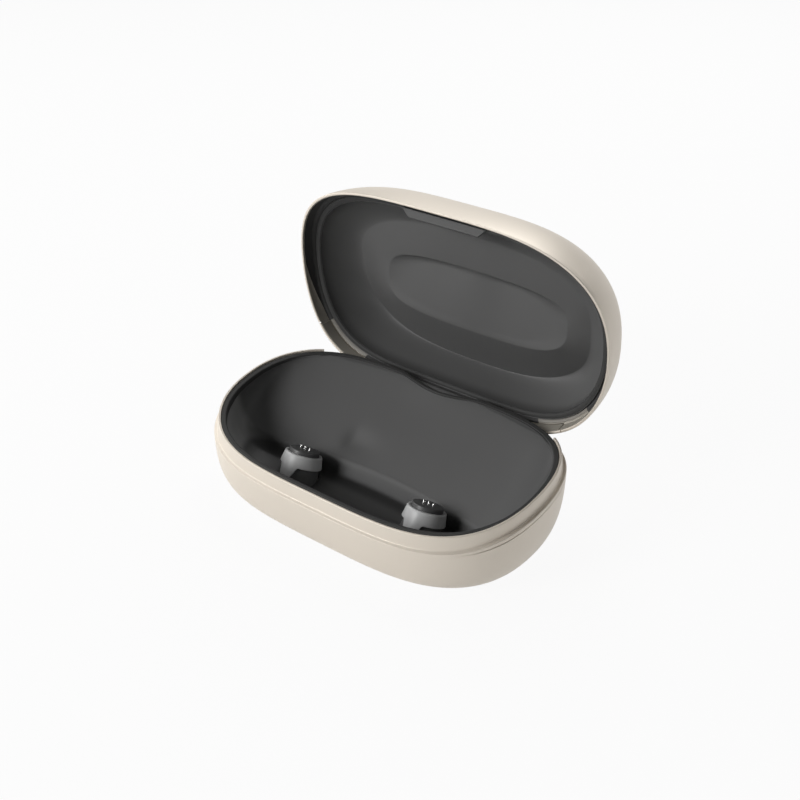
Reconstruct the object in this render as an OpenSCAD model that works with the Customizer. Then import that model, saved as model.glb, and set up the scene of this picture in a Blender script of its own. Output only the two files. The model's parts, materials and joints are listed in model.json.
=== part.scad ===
// Charging case for a pair of hearing aids: a rounded clamshell with a dark tray,
// two leaning charging posts with sprung contact pins, and a hinged lid.
// X runs along the case, -Y is the front, +Y the hinge side, Z is up.
// The origin is the middle of the face that the case rests on. The lid is drawn open.

/* [Case outline] */
// Length of the closed case
case_l = 100; // [96:1:106]
// Distance from the middle to the front edge
front_w = 29.9; // [28.5:0.1:32]
// Distance from the middle to the rear edge
rear_w = 28.5; // [27.5:0.1:30]
// Flatness of the front side, where 2 is an ellipse
front_flat = 3.65; // [3:0.05:4.5]
// Fullness of the front corners
front_full = 2.4; // [2:0.05:2.8]
// Flatness of the rear side
rear_flat = 4.8; // [4:0.1:5.5]

/* [Base] */
// Height of the parting ledge at the middle of the case
ledge_z = 16.4; // [15.5:0.1:18]
// Rise of the ledge from front to rear, per millimetre
ledge_slope = 0.105; // [0.08:0.005:0.12]
// Rise of the ledge at both ends
end_rise = 2.8; // [2:0.1:3.4]
// Size of the flat underside against the ledge outline
foot_scale = 0.8; // [0.74:0.01:0.84]
// Wall of the outer shells
wall = 1.6; // [1.4:0.1:1.8]
// Height of the neck above the ledge
neck_h = 3.8; // [3.4:0.1:4.2]

/* [Tray] */
// Wall of the tray and of the lid liner
liner_t = 1.3; // [1.2:0.1:1.5]
// Height of the floor of the front trough
trough_z = 4.0; // [3.9:0.1:4.5]
// Height of the ridge between trough and ramp
ridge_z = 8.0; // [7.6:0.1:8.6]
// Climb of the rear ramp, per millimetre
ramp_slope = 0.5; // [0.46:0.01:0.53]

/* [Charging posts] */
// Distance of each post from the middle
post_x = 20.8; // [19:0.1:23]
// Front to rear place of the pin tips
pin_y = -8.2; // [-9:0.1:-7.6]
// Height of the pin tips
pin_z = 12.4; // [12:0.1:13]
// Lean of the posts towards the hinge
post_lean = 27; // [24:1:30]
// Spacing of the contact pins
pin_pitch = 1.5; // [1.4:0.05:1.7]
// Travel of a contact pin
pin_travel = 0.7; // [0.5:0.05:0.8]

/* [Lid] */
// Height of the dome above the ledge
dome_h = 25.2; // [24:0.1:27]
// Angle by which the lid stands open
open_angle = 91.3; // [88:0.1:95]
// Height of the liner's edge above the ledge
skirt_h = 4.75; // [4.6:0.05:5]
// Depth of the lid cavity above the liner's edge
cavity_h = 13.4; // [12.8:0.1:14]
// Distance from the ends of the case to the recess in the lid ceiling
recess_margin = 20.5; // [19:0.5:23]
// Half width of the recess in the lid ceiling
recess_w = 9.7; // [9:0.1:10.5]

/* [Hinge] */
// Diameter of the hinge pin
hinge_pin_d = 1.5; // [1.3:0.1:1.6]
// Radius of the hinge knuckles
knuckle_r = 1.5; // [1.4:0.05:1.55]
// Length of the middle knuckle
knuckle_l = 35; // [33:1:37]

/* [Hidden] */
$fn = 48;

half_l = case_l / 2;
// Points round a full outline, at this step in degrees
step = 4.5;
rear_full = 2;
foot_h = 0.3;
seam = 0.25;
fit_gap = 0.1;
run_gap = 0.05;

// Flange under the lid edge and the neck that rises from it
flange_t = 1.0;
neck_foot_inset = 1.0;
neck_top_inset = 1.35;
neck_in_inset = 1.9;
tray_inset = neck_in_inset + fit_gap;
hinge_shelf = 2.4;
shelf_t = 0.9;
// Front to rear length of the fall from ramp to trough
ridge_l = 4.0;
// Dip in the rear edge: half length, soft end and depth
dip_l = 14.5;
dip_soft = 6.5;
dip_h = 2.3;
dip_clear = 3;

// Hinge line, just inside the rear edge
hinge_inset = 2.45;
hinge_rise = 0.95;
hinge_y = rear_w - hinge_inset;
hinge_z = ledge_z + ledge_slope * rear_w + hinge_rise;
swing_gap = 0.4;
lid_knuckle_l = 7;
// The neck stops at this angle on both sides of the hinge
notch_t = 36;
notch_step = 0.4;

// Lid edge, skirt and liner
lid_gap = 0.3;
lid_wall = wall - 0.3;
skirt_t = 0.65;
rim_gap = 0.3;
rim_foot = 4.1;
rim_top = 6.2;
rim_in_inset = 1.95;
cover_t = 0.95;
cover_top = 3.95;
lid_liner_inset = rim_in_inset + fit_gap;
recess_l = half_l - recess_margin;
recess_y = 2.3;
crest_l = 10;
crest_w = 8.3;
oval_full = 3.3;
groove_h = 3.4;
crest_h = cavity_h - groove_h;
groove_fall = 1.0;
band_rise = 0.9;
recess_tilt = 0.6;

// Posts, measured along their own axis from the pin tips
cap_top = 0.9;
cap_foot = 2.6;
cap_r = 4.2;
clip_top = 2.0;
clip_foot = 5.4;
clip_tab = 9.4;
tab_w = 3.2;
tab_r = 1.4;
clip_t = 0.75;
clip_gap = 0.08;
post_top = 2.65;
post_end = 16;
post_bore_r = 3.4;
post_r0 = 4.35;
post_flare = 0.2;
post_skirt_r = 6.0;
post_floor = foot_h + wall + 0.15;
pin_r = 0.3;
pin_collar_r = 0.45;
pin_run = 0.02;
barrel_r = 0.65;
barrel_top = 2.75;
barrel_lip = 0.5;
barrel_floor = 0.3;
pin_play = 0.05;
collar_l = 1.6;
spring_h = 0.6;
collar_top = barrel_top + barrel_lip + pin_play;
barrel_foot = collar_top + collar_l + pin_travel + spring_h + barrel_floor;
contact_board_t = 0.6;

// Inside of the base
floor_in = foot_h + wall;
cell = [32, 12, 4.4];
cell_at = [0, rear_w - 20.5, floor_in + 0.5];
board = [48, 10, 1];
board_at = [0, rear_w - 9.2, 4.2];
usb = [8.94, 7.3, 3.2];
usb_y = rear_w - 5.1;
usb_z = board_at.z + board.z + usb.z / 2 + 0.02;
rear_boss = [half_l - 17, rear_w - 18.5];
front_boss = [half_l - 15, 21.9 - front_w];
rear_rise = 0.4;
front_rise = 1.2;
pilot_top = 4.15;
boss_at = [for (s = [-1, 1]) for (b = [[rear_boss, rear_rise], [front_boss, front_rise]])
    [s * b[0].x, b[0].y, tray_floor(b[0]) - liner_t + b[1]]];
boss_r = 2.2;
pilot_r = 0.7;
board_screw_x = 20;
board_screw = [1.5, 0.8, 2.4];
base_screw = [1.8, 0.8, 2.9];
plate_screw = [1.4, 0.7, 2.2];
// Place along the board, place from its middle, then the three sides of each chip
chips = [[-12, 3.2, 4, 4, 0.9], [-6, 2.6, 2, 3, 0.7], [9, 2.6, 5, 3.4, 1.0], [13.5, 2.2, 2.4, 2.4, 1.2]];
flex_w = 3;
flex_t = 0.2;
flex_rise = 3.4;
flex_top = 5.4;
plate = [30, 1.3, 6];
plate_z = 11.8;
plate_y = hinge_y - knuckle_r;
plate_screw_x = 11;
magnet = [9, 0.8, 2.8];
lid_magnet = [8, 1.1, 3];
magnet_x = 6;
magnet_z = 6.8;
magnet_inset = wall + 0.42;
catch_l = 26;
catch_slant = 3.4;
catch_w = 2.4;
catch_h = 4.4;

cream = [0.89, 0.855, 0.80];
charcoal = [0.22, 0.22, 0.215];
clip_grey = [0.48, 0.48, 0.475];
steel = [0.78, 0.78, 0.76];

// Outline of the case

function front(t) = sin(t) < 0;
function side_w(t) = front(t) ? front_w : rear_w;
// Height of a rounded arch at this angle, from its two exponents
function arch(t, n, m) = sign(sin(t)) * pow(1 - pow(abs(cos(t)), n), 1 / m);
function edge(t, inset) = [(half_l - inset) * cos(t), (side_w(t) - inset)
    * arch(t, front(t) ? front_flat : rear_flat, front(t) ? front_full : rear_full)];
function ledge(p) = ledge_z + ledge_slope * p.y + end_rise * pow(abs(p.x) / half_l, 5);
// Angles round the case, with a close pair where the hinge gap begins
function full_turn() = [for (t = [0 : step : 360 - step])
    each t == notch_t ? [t - notch_step, t] : t == 180 - notch_t ? [t, t + notch_step] : [t]];
function at_hinge(t) = t > notch_t && t < 180 - notch_t;

// Swelling of the base wall, from 0 at the floor to 1 at the ledge
function base_swell(u) = foot_scale + (1 - foot_scale) * pow(1 - pow(1 - u, 2.5), 1 / 3.5);
// Narrowing of the dome, from 0 at the ledge to 1 at the top
function dome_scale(h) = pow(1 - pow(h, 1.85), 1 / 6);

function shell_top(t, p) = at_hinge(t)
    ? min(ledge(p) - fit_gap, hinge_z + hinge_y - p.y - swing_gap)
    : ledge(p) - flange_t - seam;
function base_point(t, inset, lift, u) =
    let (p = edge(t, inset) * base_swell(u))
    [p.x, p.y, lift + u * (shell_top(t, edge(t, 0)) - lift)];
function lid_point(t, inset, dz, h) =
    let (k = dome_scale(min(dz / h, 0.9999)), p = edge(t, inset) * k)
    [p.x, p.y, ledge(edge(t, 0) * k) + dz];

// Solids made of rings of points

// A closed cup: the rings run from the outer middle over the edge to the inner middle
module cup(rings) {
    n = len(rings[0]);
    last = len(rings) - 1;
    sides = [for (k = [0 : last - 1]) for (i = [0 : n - 1]) let (j = (i + 1) % n)
        each [[k * n + i, (k + 1) * n + i, (k + 1) * n + j], [k * n + i, (k + 1) * n + j, k * n + j]]];
    ends = [[for (i = [0 : n - 1]) i], [for (i = [n - 1 : -1 : 0]) last * n + i]];
    polyhedron([for (r = rings) each r], concat(sides, ends), convexity = 6);
}

// A strip with the same section all along: the loops are its sections in turn
module strip(loops, closed) {
    m = len(loops[0]);
    n = len(loops);
    sides = [for (k = [0 : n - (closed ? 1 : 2)]) for (i = [0 : m - 1])
        let (j = (i + 1) % m, q = (k + 1) % n)
        each [[k * m + i, q * m + i, q * m + j], [k * m + i, q * m + j, k * m + j]]];
    ends = closed ? [] : [[for (i = [0 : m - 1]) i], [for (i = [m - 1 : -1 : 0]) (n - 1) * m + i]];
    polyhedron([for (l = loops) each l], concat(sides, ends), convexity = 6);
}

module lid_pose() {
    translate([0, hinge_y, hinge_z])
        rotate([-open_angle, 0, 0])
            translate([0, -hinge_y, -hinge_z])
                children();
}

module post_frame(side) {
    translate([side * post_x, pin_y, pin_z])
        rotate([-post_lean, 0, 0])
            children();
}

// A slot with round ends that runs along Y
module slot(w, l, h) {
    cube([w - h, l, h], center = true);
    for (s = [-1, 1])
        translate([s * (w - h) / 2, 0, 0])
            rotate([90, 0, 0])
                cylinder(h = l, r = h / 2, center = true);
}

// Base

module shell_body() {
    heights = [for (k = [0 : 8]) pow(k / 8, 2)];
    cup(concat(
        [for (u = heights) [for (t = full_turn()) base_point(t, 0, foot_h, u)]],
        [for (k = [8 : -1 : 0]) [for (t = full_turn()) base_point(t, wall, floor_in, heights[k])]]));
}

module base_shell() {
    color(cream)
    difference() {
        union() {
            shell_body();
            // Pad behind the hinge plate
            translate([-plate.x / 2, plate_y + plate.y + 0.05, plate_z - plate.z / 2])
                cube([plate.x, 1.4, plate.z]);
            // Board posts
            for (s = [-1, 1])
                translate([s * board_screw_x, board_at.y, floor_in - 0.5])
                    cylinder(h = board_at.z - floor_in + 0.48, r = 1.8);
        }
        translate([0, usb_y + usb.y / 2, usb_z])
            slot(usb.x + 0.4, 8, usb.z + 0.4);
        for (s = [-1, 1]) {
            translate([s * plate_screw_x, plate_y + plate.y + 1.6, plate_z])
                rotate([90, 0, 0])
                    cylinder(h = 2, r = pilot_r);
            translate([s * board_screw_x, board_at.y, floor_in])
                cylinder(h = board_at.z, r = pilot_r);
        }
        for (b = boss_at) {
            translate([b.x, b.y, 0])
                cylinder(h = floor_in + 2, r = pilot_r + 0.4);
            translate([b.x, b.y, 0])
                cylinder(h = foot_h + base_screw.y + 0.1, r = base_screw.x + 0.2);
        }
    }
}

// The neck ring stops at the hinge and has the ledge that the lid closes on
module base_collar() {
    section = [[0, 0], [0, -flange_t], [neck_in_inset, -flange_t], [neck_in_inset, neck_h - 0.15],
        [neck_top_inset, neck_h - 0.15], [neck_foot_inset, 0]];
    turns = [for (t = [180 - notch_t : step : 360 + notch_t]) t];
    color(cream)
    strip([for (t = turns) let (z = ledge(edge(t, 0)))
        [for (q = section) let (p = edge(t, q.x)) [p.x, p.y, z + q.y]]], false);
}

// Height of the tray floor: trough, ridge and ramp
function ridge_y(x) = -0.7 - 3.8 * pow(x / 33, 2);
function ease(v) = let (c = max(0, min(1, v))) c * c * (3 - 2 * c);
function tray_drop(s) = ridge_z + (trough_z - ridge_z) * ease(s) - ramp_slope * ridge_l * s * pow(1 - s, 2);
function tray_floor(p) = let (y = p.y - ridge_y(p.x))
    y > 0 ? ridge_z + y * ramp_slope : tray_drop(min(1, -y / ridge_l));
// Dip in the rear edge of the tray, where the hinge barrel lies behind it
function dip(t, p) = front(t) ? 0 : ease((dip_l - abs(p.x)) / dip_soft);
// The tray wall steps forward at the rear, so that its edge covers the hinge
function shelf(t) = hinge_shelf * ease((edge(t, 0).y / rear_w - 0.75) / 0.2);
function tray_point(t, inset, s, drop) =
    let (e = edge(t, inset), p = e * s, b = sqrt(1 - pow(s, 7)),
        rim = ledge(e) + neck_h - 0.1 - dip_h * dip(t, e))
    [p.x, p.y, rim + (min(tray_floor(p), rim - 0.4) - rim) * b - drop];
function tray_wall(t) = tray_inset + shelf(t);
// Before the edge dips it draws back in front of the barrel
function tray_edge(t) = tray_inset + (front(t) ? 0
    : 0.9 * shelf(t) * ease((dip_l + dip_clear - abs(edge(t, 0).x)) / dip_clear));

module base_liner() {
    scales = [1, 0.992, 0.975, 0.95, 0.91, 0.85, 0.77, 0.67, 0.56, 0.44, 0.32, 0.2, 0.08];
    color(charcoal)
    difference() {
        union() {
            cup(concat(
                [for (k = [12 : -1 : 1])
                    [for (t = full_turn()) tray_point(t, tray_wall(t), scales[k], liner_t)]],
                [[for (t = full_turn()) tray_point(t, tray_wall(t), 1, shelf_t)]],
                [[for (t = full_turn()) tray_point(t, tray_edge(t), 1, shelf_t)]],
                [[for (t = full_turn()) tray_point(t, tray_edge(t), 1, 0)]],
                [for (k = [0 : 12])
                    [for (t = full_turn()) tray_point(t, tray_wall(t) + liner_t, scales[k], 0)]]));
            for (b = boss_at)
                translate([b.x, b.y, floor_in + 0.15])
                    cylinder(h = b.z - floor_in, r = boss_r);
        }
        for (s = [-1, 1])
            post_frame(s)
                translate([0, 0, -post_end])
                    cylinder(h = post_end - clip_top, r = post_skirt_r + 0.3);
        for (b = boss_at)
            translate([b.x, b.y, 0])
                cylinder(h = pilot_top, r = pilot_r);
    }
}

module foot_pad() {
    color([0.25, 0.25, 0.25])
    linear_extrude(height = foot_h - 0.02)
        polygon([for (t = full_turn()) edge(t, 0) * (foot_scale + 0.02)]);
}

// A screw from its head: head radius, head height and length
module screw(size) {
    difference() {
        cylinder(h = size.y, r = size.x);
        cylinder(h = size.y, r = size.x * 0.4, center = true, $fn = 6);
    }
    translate([0, 0, size.y - 0.05])
        cylinder(h = size.z, r = pilot_r - 0.02);
}

module base_screws() {
    color(steel)
    for (b = boss_at)
        translate([b.x, b.y, foot_h + 0.05])
            screw(base_screw);
}

// Electronics

module main_board() {
    color([0.1, 0.33, 0.2])
    difference() {
        translate([-board.x / 2, board_at.y - board.y / 2, board_at.z])
            cube(board);
        for (s = [-1, 1])
            translate([s * board_screw_x, board_at.y, board_at.z - 1])
                cylinder(h = board.z + 2, r = pilot_r + 0.2);
    }
}

module board_chips() {
    color([0.12, 0.12, 0.12])
    for (c = chips)
        translate([c[0] - c[2] / 2, board_at.y - c[1], board_at.z + board.z + 0.02])
            cube([c[2], c[3], c[4]]);
}

module board_screws() {
    color(steel)
    for (s = [-1, 1])
        translate([s * board_screw_x, board_at.y, board_at.z + board.z + board_screw.y + 0.05])
            rotate([180, 0, 0])
                screw(board_screw);
}

module battery_cell() {
    color([0.55, 0.57, 0.6])
    translate([cell_at.x - cell.x / 2, cell_at.y - cell.y / 2, cell_at.z])
        cube(cell);
}

module battery_pad() {
    color([0.15, 0.15, 0.15])
    translate([cell_at.x - cell.x / 2 + 1, cell_at.y - cell.y / 2 + 1, floor_in + 0.03])
        cube([cell.x - 2, cell.y - 2, cell_at.z - floor_in - 0.06]);
}

module usb_socket() {
    color(steel)
    translate([0, usb_y, usb_z])
        difference() {
            slot(usb.x, usb.y, usb.z);
            translate([0, 0.8, 0])
                slot(usb.x - 0.6, usb.y, usb.z - 0.6);
        }
}

module usb_tongue() {
    color([0.1, 0.1, 0.1])
    translate([-3.2, usb_y - usb.y / 2 + 0.85, usb_z - 0.35])
        cube([6.4, usb.y - 1.8, 0.7]);
}

// Charging posts

function post_r(a) = post_r0 + post_flare * (a - clip_top);

module post(side) {
    color(charcoal)
    difference() {
        post_frame(side)
            difference() {
                union() {
                    translate([0, 0, -clip_foot - 2])
                        cylinder(h = clip_foot + 2 - post_top, r1 = post_r(clip_foot + 2), r2 = post_r(post_top));
                    translate([0, 0, -post_end])
                        cylinder(h = post_end - clip_foot - 2, r = post_r(clip_foot + 2));
                }
                translate([0, 0, -post_end - 1])
                    cylinder(h = post_end + 1, r = post_bore_r);
            }
        translate([0, 0, post_floor - 20])
            cube([200, 200, 40], center = true);
        translate([side * post_x - 1.9, pin_y - 4, 0])
            cube([3.8, 12, post_floor + 0.6]);
    }
}

module post_clip(side) {
    color(clip_grey)
    post_frame(side)
        difference() {
            union() {
                translate([0, 0, -clip_foot])
                    cylinder(h = clip_foot - clip_top, r1 = post_r(clip_foot) + clip_gap + clip_t,
                        r2 = post_r(clip_top) + clip_gap + clip_t);
                intersection() {
                    translate([0, 0, -clip_tab])
                        cylinder(h = clip_tab - clip_top, r1 = post_r(clip_tab) + clip_gap + clip_t,
                            r2 = post_r(clip_top) + clip_gap + clip_t);
                    union() {
                        translate([-tab_w / 2, -20, -clip_tab + 0.9])
                            cube([tab_w, 20, clip_tab - clip_foot]);
                        difference() {
                            translate([-tab_w / 2 - tab_r, -20, -clip_foot - tab_r])
                                cube([tab_w + 2 * tab_r, 20, tab_r + 0.5]);
                            for (s = [-1, 1])
                                translate([s * (tab_w / 2 + tab_r), 1, -clip_foot - tab_r])
                                    rotate([90, 0, 0])
                                        cylinder(h = 30, r = tab_r);
                        }
                    }
                }
            }
            translate([0, 0, -clip_tab - 0.5])
                cylinder(h = clip_tab + 0.5, r1 = post_r(clip_tab + 0.5) + clip_gap, r2 = post_r(0) + clip_gap);
        }
}

module post_cap(side) {
    color([0.27, 0.27, 0.27])
    post_frame(side)
        difference() {
            translate([0, 0, -cap_foot])
                cylinder(h = cap_foot - cap_top, r = cap_r);
            for (k = [-1 : 1])
                translate([k * pin_pitch, 0, -cap_foot - 1])
                    cylinder(h = cap_foot + 1, r = pin_r + 0.06);
        }
}

module contact_board(side) {
    color([0.1, 0.33, 0.2])
    post_frame(side)
        translate([0, 0, -barrel_foot - 0.03 - contact_board_t])
            cylinder(h = contact_board_t, r = post_bore_r - fit_gap);
}

module pin_barrels(side) {
    color([0.78, 0.66, 0.36])
    post_frame(side)
        for (k = [-1 : 1])
            translate([k * pin_pitch, 0, -barrel_foot])
                difference() {
                    cylinder(h = barrel_foot - barrel_top, r = barrel_r);
                    translate([0, 0, barrel_floor])
                        cylinder(h = barrel_foot - barrel_top - barrel_floor - barrel_lip, r = pin_collar_r + pin_run);
                    translate([0, 0, barrel_floor])
                        cylinder(h = barrel_foot, r = pin_r + pin_run);
                }
}

module contact_pin(side, k) {
    color(steel)
    post_frame(side)
        translate([k * pin_pitch, 0, 0]) {
            translate([0, 0, -pin_r])
                sphere(r = pin_r);
            translate([0, 0, -collar_top - 0.3])
                cylinder(h = collar_top + 0.3 - pin_r, r = pin_r);
            translate([0, 0, -collar_top - collar_l])
                cylinder(h = collar_l, r = pin_collar_r);
        }
}

module flex(side) {
    z0 = floor_in + 0.12;
    rise_y = pin_y - flex_rise;
    end_y = board_at.y - 3;
    end_z = board_at.z - 0.05;
    path = [[rise_y, flex_top], [rise_y, z0], [end_y, z0], [end_y, end_z], [end_y - flex_t, end_z],
        [end_y - flex_t, z0 + flex_t], [rise_y + flex_t, z0 + flex_t], [rise_y + flex_t, flex_top]];
    color([0.75, 0.5, 0.2])
    translate([side * post_x - flex_w / 2, 0, 0])
        rotate([90, 0, 90])
            linear_extrude(height = flex_w)
                polygon(path);
}

module base_magnets() {
    color([0.7, 0.7, 0.72])
    for (s = [-1, 1])
        translate([s * magnet_x - magnet.x / 2, -front_w + magnet_inset, magnet_z])
            cube(magnet);
}

// Hinge

module hinge_bracket() {
    color(charcoal)
    difference() {
        union() {
            translate([0, hinge_y, hinge_z])
                rotate([0, 90, 0])
                    cylinder(h = knuckle_l, r = knuckle_r, center = true);
            translate([-knuckle_l / 2, plate_y, plate_z])
                cube([knuckle_l, plate.y, hinge_z - plate_z]);
            translate([-plate.x / 2, plate_y, plate_z - plate.z / 2])
                cube(plate);
        }
        translate([0, hinge_y, hinge_z])
            rotate([0, 90, 0])
                cylinder(h = knuckle_l + 2, r = hinge_pin_d / 2 + 0.01, center = true);
        for (s = [-1, 1])
            translate([s * plate_screw_x, plate_y - 1, plate_z])
                rotate([-90, 0, 0])
                    cylinder(h = 4, r = pilot_r + 0.1);
    }
}

module hinge_pin() {
    color(steel)
    translate([0, hinge_y, hinge_z])
        rotate([0, 90, 0])
            cylinder(h = knuckle_l + 2 * lid_knuckle_l + 1, r = hinge_pin_d / 2, center = true);
}

module hinge_screws() {
    color(steel)
    for (s = [-1, 1])
        translate([s * plate_screw_x, plate_y - plate_screw.y - 0.05, plate_z])
            rotate([-90, 0, 0])
                screw(plate_screw);
}

// Lid, drawn closed and then turned open about the hinge line

function lid_foot(t) = at_hinge(t) || t == notch_t || t == 180 - notch_t ? rim_foot : lid_gap;

module lid_shell() {
    outer = [for (k = [0 : 11]) sin(k * 90 / 11.4)];
    inner_h = dome_h - lid_wall;
    skirt_end = rim_top + 0.2;
    inner = [for (k = [0 : 10]) let (f = k / 10.4) skirt_end + 0.7 + (inner_h - skirt_end - 0.7) * sin(f * 90)];
    color(cream)
    lid_pose()
        cup(concat(
            [for (k = [10 : -1 : 0]) [for (t = full_turn()) lid_point(t, lid_wall, inner[k], inner_h)]],
            [[for (t = full_turn()) lid_point(t, skirt_t, skirt_end, dome_h)]],
            [[for (t = full_turn()) lid_point(t, skirt_t, lid_foot(t), dome_h)]],
            [for (h = outer) [for (t = full_turn())
                lid_point(t, 0, lid_foot(t) + (dome_h - lid_foot(t)) * h, dome_h)]]));
}

module lid_rim() {
    section = [[skirt_t + rim_gap, rim_top], [skirt_t + rim_gap, rim_foot],
        [rim_in_inset - 0.5, rim_foot], [rim_in_inset, skirt_h], [rim_in_inset - 0.5, rim_top]];
    color(cream)
    lid_pose()
        strip([for (t = full_turn()) [for (q = section) lid_point(t, q.x, q.y, dome_h)]], true);
}

// Ceiling of the lid: the wall rounds over to an oval crest, and a long recess sits inside it
function oval(t, l, w) = [l * cos(t), recess_y + w * arch(t, oval_full, oval_full)];
function crest_edge(t) = oval(t, recess_l + crest_l, recess_w + crest_w);
function lid_rim_edge(t, inset) = edge(t, inset) * dome_scale(skirt_h / dome_h);
function on_lid(p, dz) = [p.x, p.y, ledge(p) + dz];
function wall_ring(inset, q, lift) = [for (t = full_turn())
    let (a = lid_rim_edge(t, inset))
    on_lid(a + (crest_edge(t) - a) * (1 - cos(q)), skirt_h + (crest_h + lift) * sin(q))];
// 0 at the front of the ceiling and 1 at the hinge side
function hinge_side(t) = ease((sin(t) + 0.45) / 0.9);
// Rise from the crest inwards: a flat band at the front, a groove at the hinge side
function groove(f) = f < 0.25 ? groove_h * ease(f / 0.25) : groove_h - groove_fall * ease((f - 0.25) / 0.75);
function band(f, t) = band_rise * ease(f) * (1 - hinge_side(t)) + groove(f) * hinge_side(t);
function step_ring(f, lift) = [for (t = full_turn())
    on_lid(crest_edge(t) + (oval(t, recess_l, recess_w) - crest_edge(t)) * f,
        skirt_h + crest_h + lift + band(f, t))];
// The recess goes deeper than the front band and carries on from the groove
function recess_ring(f, lift) = [for (t = full_turn())
    let (k = ease((1 - f) / 0.22), low = groove_h - groove_fall)
    on_lid(oval(t, recess_l * f, recess_w * f), skirt_h + crest_h + lift
        + band(1, t) * (1 - k) + (low + recess_tilt * (1 - f * sin(t)) / 2) * k)];
function ceiling_rings(inset, lift) = concat(
    [for (q = [0 : 11.25 : 90]) wall_ring(inset, q, lift)],
    [for (f = [0.08, 0.16, 0.25, 0.5, 0.75, 1]) step_ring(f, lift)],
    [for (f = [0.93, 0.86, 0.78, 0.5, 0.2]) recess_ring(f, lift)]);

module lid_liner() {
    seen = ceiling_rings(lid_liner_inset + liner_t, 0);
    back = ceiling_rings(lid_liner_inset, liner_t);
    color(charcoal)
    lid_pose()
        cup(concat([for (k = [len(seen) - 1 : -1 : 0]) seen[k]], back));
}

// The strip behind the hinge, with the two lid knuckles
module lid_rear_cover() {
    section = [[0, cover_top], [0, lid_gap], [cover_t, lid_gap], [cover_t, cover_top]];
    turns = concat([notch_t + 0.3], [for (t = [notch_t + step : step : 179 - notch_t]) t], [179.7 - notch_t]);
    knuckle_x = knuckle_l / 2 + 0.3;
    color(cream)
    lid_pose()
        difference() {
            union() {
                difference() {
                    strip([for (t = turns) [for (q = section) lid_point(t, q.x, q.y, dome_h)]], false);
                    translate([0, rear_w, hinge_z - 1.2])
                        cube([knuckle_l + 0.6, 8, 7.4], center = true);
                }
                for (s = [-1, 1])
                    translate([s * (knuckle_x + lid_knuckle_l / 2), hinge_y, hinge_z]) {
                        rotate([0, 90, 0])
                            cylinder(h = lid_knuckle_l, r = knuckle_r, center = true);
                        translate([-lid_knuckle_l / 2, knuckle_r - 0.6, 0])
                            cube([lid_knuckle_l, 1.1, 2.6]);
                    }
            }
            translate([0, hinge_y, hinge_z])
                rotate([0, 90, 0])
                    cylinder(h = case_l, r = hinge_pin_d / 2 + run_gap, center = true);
        }
}

// Outline of the catch block in the YZ plane: its back follows the liner
function catch_back(z0, dz) =
    let (a = lid_rim_edge(270, lid_liner_inset + liner_t).y, c = crest_edge(270).y,
        f = 1 - sqrt(1 - pow(dz / crest_h, 2)))
    [a + (c - a) * f + 0.4, z0 + dz];

module lid_catch_block() {
    z0 = ledge([0, -front_w]) + skirt_h + 0.3;
    back = [for (k = [0 : 4]) catch_back(z0, k * catch_h / 4)];
    color([0.3, 0.3, 0.295])
    lid_pose()
        difference() {
            intersection() {
                translate([-catch_l / 2, 0, 0])
                    rotate([90, 0, 90])
                        linear_extrude(height = catch_l)
                            polygon(concat(back, [[back[4].x + 1.2, back[4].y], [back[0].x + catch_w, z0]]));
                linear_extrude(height = case_l)
                    polygon([[-catch_l / 2, back[0].x - 2], [catch_l / 2, back[0].x - 2],
                        [catch_l / 2, back[0].x], [catch_l / 2 - catch_slant, back[0].x + catch_w],
                        [catch_slant - catch_l / 2, back[0].x + catch_w], [-catch_l / 2, back[0].x]]);
            }
            for (s = [-1, 1])
                translate([s * magnet_x, back[0].x + 1.35, z0 + 2.6])
                    cube(lid_magnet + [0.2, 0.2, 0.2], center = true);
        }
}

module lid_magnets() {
    z0 = ledge([0, -front_w]) + skirt_h + 0.3;
    y0 = catch_back(z0, 0).x + 1.35;
    color([0.7, 0.7, 0.72])
    lid_pose()
        for (s = [-1, 1])
            translate([s * magnet_x, y0, z0 + 2.6])
                cube(lid_magnet, center = true);
}

base_shell();
base_collar();
base_liner();
foot_pad();
base_screws();
main_board();
board_chips();
board_screws();
battery_cell();
battery_pad();
usb_socket();
usb_tongue();
post(-1);  // post_left
post(1);  // post_right
post_clip(-1);  // post_clip_left
post_clip(1);  // post_clip_right
post_cap(-1);  // post_cap_left
post_cap(1);  // post_cap_right
contact_board(-1);  // contact_board_left
contact_board(1);  // contact_board_right
pin_barrels(-1);  // pin_barrels_left
pin_barrels(1);  // pin_barrels_right
contact_pin(-1, -1);  // contact_pin_left_1
contact_pin(-1, 0);  // contact_pin_left_2
contact_pin(-1, 1);  // contact_pin_left_3
contact_pin(1, -1);  // contact_pin_right_1
contact_pin(1, 0);  // contact_pin_right_2
contact_pin(1, 1);  // contact_pin_right_3
flex(-1);  // flex_left
flex(1);  // flex_right
base_magnets();
hinge_bracket();
hinge_pin();
hinge_screws();
lid_shell();
lid_rim();
lid_liner();
lid_rear_cover();
lid_catch_block();
lid_magnets();
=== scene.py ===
"""Charging case for hearing aids: dresses the packed frame with finished pieces, materials and a stage."""

import json
import math

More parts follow.
